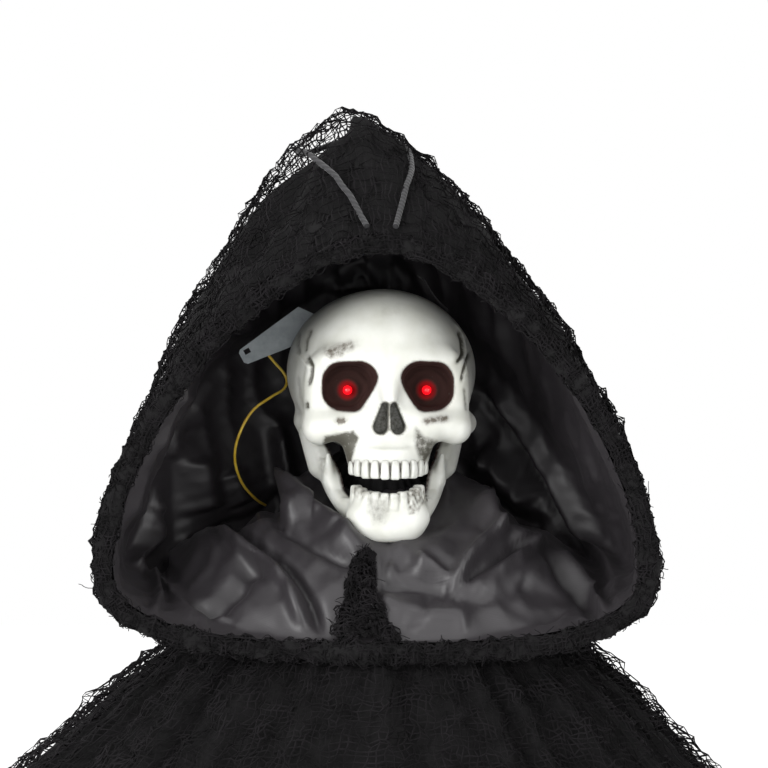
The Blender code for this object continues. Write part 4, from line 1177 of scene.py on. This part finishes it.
around = 240
angle = math.tau * np.arange(around) / around
heights = np.concatenate([[0.0], np.linspace(0.015, 1.93, 60)])
cloth = robe_rings(heights, around, 0.0)
turn_out = np.stack([np.cos(angle), np.sin(angle) * 0.9, np.zeros(around)], axis=-1)
shoulder = np.clip(np.abs(np.cos(angle)) - 0.55, 0, 1) / 0.45
tuck = (2.5 + 5.5 * shoulder) * np.clip(heights / 0.2, 0.2, 1)[:, None] * np.clip((1.25 - heights) / 0.2, 0.5, 1)[:,
    None] * MM
cloth = cloth + turn_out * (robe_folds(angle, heights[:, None]) - tuck)[..., None]
cloth[..., 2] -= 8 * MM * np.clip((heights[:, None] - 1.15) / 0.2, 0, 1)
cloth[0, :, 2] = 0
neck = []
for share, drop in ((1.2, 12), (1.0, 7), (0.94, 4), (0.95, 0), (0.6, 0), (0.2, 0)):
    gathered = 1 + 0.05 * np.cos(angle * 13 + 1.3 * np.sin(angle * 2))
    x = NECK_RADIUS / UNIT * share * gathered * np.cos(angle)
    y = NECK_RADIUS / UNIT * share * gathered * np.sin(angle) + 14
    z = skull_base(x, y) - 1.4
    neck.append(placed(np.stack([x, y, z], axis=-1)) - np.array([0, 0, drop * MM]))
cloth = np.concatenate([cloth, np.array(neck)])
rows = len(cloth)
points = np.vstack([cloth.reshape(-1, 3), cloth[-1].mean(axis=0, keepdims=True), cloth[0].mean(axis=0, keepdims=True)])
below = len(points) - 1
faces = [f[::-1] for f in grid_faces(rows, around)] + [((j + 1) % around, j, below) for j in range(around)]
robe = add_piece("robe_cloth", points, faces, cotton)
lay_uv(robe, np.append(np.tile(np.arange(around) / around, rows), [0.5, 0.5]),
    np.append(np.repeat(np.arange(rows) * 0.003, around), [0.2, -0.1]), 1.0)
wall = robe.modifiers.new("wall", "SOLIDIFY")
wall.thickness = 1.2 * MM
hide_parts("robe")

# %% Net over the robe
around = 324
angle = math.tau * np.arange(around) / around
heights = np.linspace(0.012, 1.12, 34)
over = robe_rings(heights, around, 0.6 * MM)
turn_out = np.stack([np.cos(angle), np.sin(angle) * 0.9, np.zeros(around)], axis=-1)
over = over + turn_out * (robe_folds(angle, heights[:, None]) + np.abs(1.2 * MM * wander(over, 18 * MM, 80)))[..., None]
over = uneven(over, MESH_SPACING * 0.5, 81)
over[..., 2] = np.maximum(over[..., 2], 0.5 * MM)
points, faces = net(over, True, THREAD, 83)
robe_net = add_piece("robe_gauze", points, faces, gauze)
print("robe net:", len(faces), "faces")

# %% [markdown]
# ## Cord, wire and strip
# A dark round cord is knotted through the hem and lies over the hood, round behind the peak: the loop that the
# figure hangs by. It is a curve with a round bevel, on the solid model's own route.

# %% Hanging loop
LOOP_CORD_DIAMETER, LEAD_DIAMETER = 3.2 * MM, 1.6 * MM
LOOP_ROUTE = (
    (0.030, 0.5080),
    (0.15, 0.5200),
    (0.29, 0.5340),
    (0.40, 0.5420),
    (0.47, 0.5320),
    (0.50, 0.5050),
    (0.49, 0.4800),
    (0.42, 0.4620),
    (0.30, 0.4660),
    (0.15, 0.4790),
    (0.030, 0.4900),
)


def add_cord(name, points, diameter, finish):
    curve = bpy.data.curves.new(name, "CURVE")
    curve.dimensions = "3D"
    curve.bevel_depth = diameter / 2
    curve.bevel_resolution = 4
    curve.use_fill_caps = True
    line = curve.splines.new("POLY")
    line.points.add(len(points) - 1)
    for point, place in zip(line.points, points):
        point.co = (*place, 1.0)
    curve.materials.append(finish)
    made = bpy.data.objects.new(name, curve)
    bpy.context.scene.collection.objects.link(made)
    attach(made, "root")
    return made


def run_length(points):
    return float(np.linalg.norm(np.diff(np.array(points), axis=0), axis=1).sum())


loop_points = []
for i in range(40):
    t, share = smooth_rows(LOOP_ROUTE, i / 39)
    rings, out, run = hood_grid(720, (max(t - 0.01, 0.0), t, t + 0.01))
    at = int(round(share * 720)) % 720
    swell = HEM_SWELL * math.exp(-((np.linalg.norm(rings[1][at] - hood_section(0.0, 720)[at]) / HEM_LENGTH) ** 2))
    loop_points.append(rings[1][at] + out[1][at] * (swell - HEM_SWELL * 0.4 + LOOP_CORD_DIAMETER / 2 + SEAT_GAP))
cord_cotton = new_finish("braided polyester cord, dark grey", {"Base Color": linear("2B2C2E"), "Roughness": 0.7,
    "IOR": 1.55, "Sheen Weight": 0.3, "Sheen Roughness": 0.4})
cord_place = add_node(cord_cotton, "TexCoord").outputs["Object"]
braid = add_node(cord_cotton, "TexWave", {"Scale": 160.0, "Distortion": 2.0, "bands_direction": "DIAGONAL"},
    {"Vector": cord_place})
braid_colour = add_node(cord_cotton, "ValToRGB", {}, {"Fac": braid.outputs["Fac"]})
braid_colour.color_ramp.elements[0].color = linear("131314")
braid_colour.color_ramp.elements[1].color = linear("28272A")
braid_relief = add_node(cord_cotton, "Bump", {"Strength": 0.6, "Distance": 0.0003}, {"Height": braid.outputs["Fac"]})
connect(cord_cotton, Base_Color=braid_colour.outputs["Color"], Normal=braid_relief.outputs["Normal"])
loop = add_cord("hanging_loop", loop_points, LOOP_CORD_DIAMETER, cord_cotton)
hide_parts("hang_loop")
print("loop", round(run_length(loop_points) * 1000), "mm")

# %% [markdown]
# The lamps are fed by a thin yellow hook-up wire. It comes from behind the grey strip, turns behind the skull,
# hangs in a bow and goes back into the lining. Its insulation is PVC: smooth, with a soft gloss.

# %% Lamp lead
LEAD_ROUTE = (
    (-65, 25.5, 18),
    (-60.5, 27.5, 12.5),
    (-56.5, 29, 8),
    (-54.2, 29.5, 3),
    (-56.0, 26, -2),
    (-63.0, 18.5, -6.5),
    (-73, 13.5, -14),
    (-80.5, 15, -27),
    (-83.5, 21, -41),
    (-80, 31, -55),
    (-72.5, 45, -65),
    (-67.5, 58, -69),
)
middle = np.array([HEAD_ASIDE, 0, SKULL_CENTRE_HEIGHT])
lead_points = [middle + smooth_rows(LEAD_ROUTE, i / 39) * UNIT for i in range(40)]
yellow = new_finish("PVC wire insulation, yellow", {"Roughness": 0.35, "IOR": 1.54})
yellow_place = add_node(yellow, "TexCoord").outputs["Object"]
yellow_noise = add_node(yellow, "TexNoise", {"Scale": 120.0, "Detail": 3.0}, {"Vector": yellow_place})
yellow_colour = add_node(yellow, "ValToRGB", {}, {"Fac": yellow_noise.outputs["Fac"]})
yellow_colour.color_ramp.elements[0].position, yellow_colour.color_ramp.elements[0].color = 0.3, linear("CFA92E")
yellow_colour.color_ramp.elements[1].position, yellow_colour.color_ramp.elements[1].color = 0.7, linear("EBCB55")
connect(yellow, Base_Color=yellow_colour.outputs["Color"])
lead = add_cord("yellow_lamp_lead", lead_points, LEAD_DIAMETER, yellow)
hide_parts("lamp_lead")
print("lead", round(run_length(lead_points) * 1000), "mm")

# %% [markdown]
# Beside the skull a flat grey strip of plastic sticks out, with a small square hole near its free end. What
# it is fixed to doesn't show. It is the solid model's own piece, whose shape is right, so only its surface is made here: grey
# polypropylene with a fine mould grain and scuffs.

# %% Grey strip
grey = new_finish("polypropylene sheet, grey", {"Roughness": 0.5, "IOR": 1.49})
grey_place = add_node(grey, "TexCoord").outputs["Object"]
scuff = add_node(grey, "TexNoise", {"Scale": 160.0, "Detail": 5.0, "Roughness": 0.6}, {"Vector": grey_place})
grey_colour = add_node(grey, "ValToRGB", {}, {"Fac": scuff.outputs["Fac"]})
grey_colour.color_ramp.elements[0].position, grey_colour.color_ramp.elements[0].color = 0.3, linear("8D9599")
grey_colour.color_ramp.elements[1].position, grey_colour.color_ramp.elements[1].color = 0.7, linear("A9B0B3")
grey_relief = add_node(grey, "Bump", {"Strength": 0.3, "Distance": 0.0003}, {"Height": scuff.outputs["Fac"]})
grey_gloss = add_node(grey, "MapRange", {"To Min": 0.4, "To Max": 0.62}, {"Value": scuff.outputs["Fac"]})
connect(grey, Base_Color=grey_colour.outputs["Color"], Normal=grey_relief.outputs["Normal"],
    Roughness=grey_gloss.outputs[0])
for material_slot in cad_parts["grey_strip"].material_slots:
    material_slot.material = grey

# %% [markdown]
# ## Cloth areas
# The area of each sheet of cloth is measured and printed here.

def surface(made):
    return sum(f.area for f in made.data.polygons)


for cloth_piece in (lining, backing, robe):
    print(cloth_piece.name, "area", round(surface(cloth_piece), 3), "m2")

# %% [markdown]
# ## Studio
# The picture was taken in a white tent: no shadow edges, a pure white ground, and broad soft light from both sides
# that draws long soft highlights on the satin. The tent is the world's plain white, which shows as white from every
# side, and a flat sheet of white paper is the stage.

# %% Paper
paper_finish = new_finish("matt background paper, white", {"Base Color": (0.93, 0.93, 0.93, 1), "Roughness": 0.9})
bpy.ops.mesh.primitive_plane_add(size=2.6, location=(0, 0, -0.0005))
paper = bpy.context.object
paper.name = "paper_sheet"
paper.data.materials.append(paper_finish)


# %% Lights
BUST_MIDDLE = Vector((0.0, 0.0, 0.22))


def softbox(name, place, size, power):
    light = bpy.data.lights.new(name, "AREA")
    light.shape = "RECTANGLE"
    light.size, light.size_y = size
    light.energy = power
    made = bpy.data.objects.new(name, light)
    made.location = place
    made.rotation_euler = (BUST_MIDDLE - Vector(place)).to_track_quat("-Z", "Y").to_euler()
    bpy.context.scene.collection.objects.link(made)


softbox("front fill", (0.05, -2.05, 1.1), (2.2, 1.1), 3)
softbox("left softbox", (-1.35, -1.5, 0.42), (1.1, 1.0), 31)
softbox("right softbox", (1.45, -1.4, 0.45), (0.8, 1.0), 11)
softbox("top softbox", (0.0, -0.2, 1.75), (2.0, 1.6), 7)
world = bpy.data.worlds.new("studio")
world.use_nodes = True
world.node_tree.nodes["Background"].inputs["Color"].default_value = (1, 1, 1, 1)
world.node_tree.nodes["Background"].inputs["Strength"].default_value = 1.0
bpy.context.scene.world = world
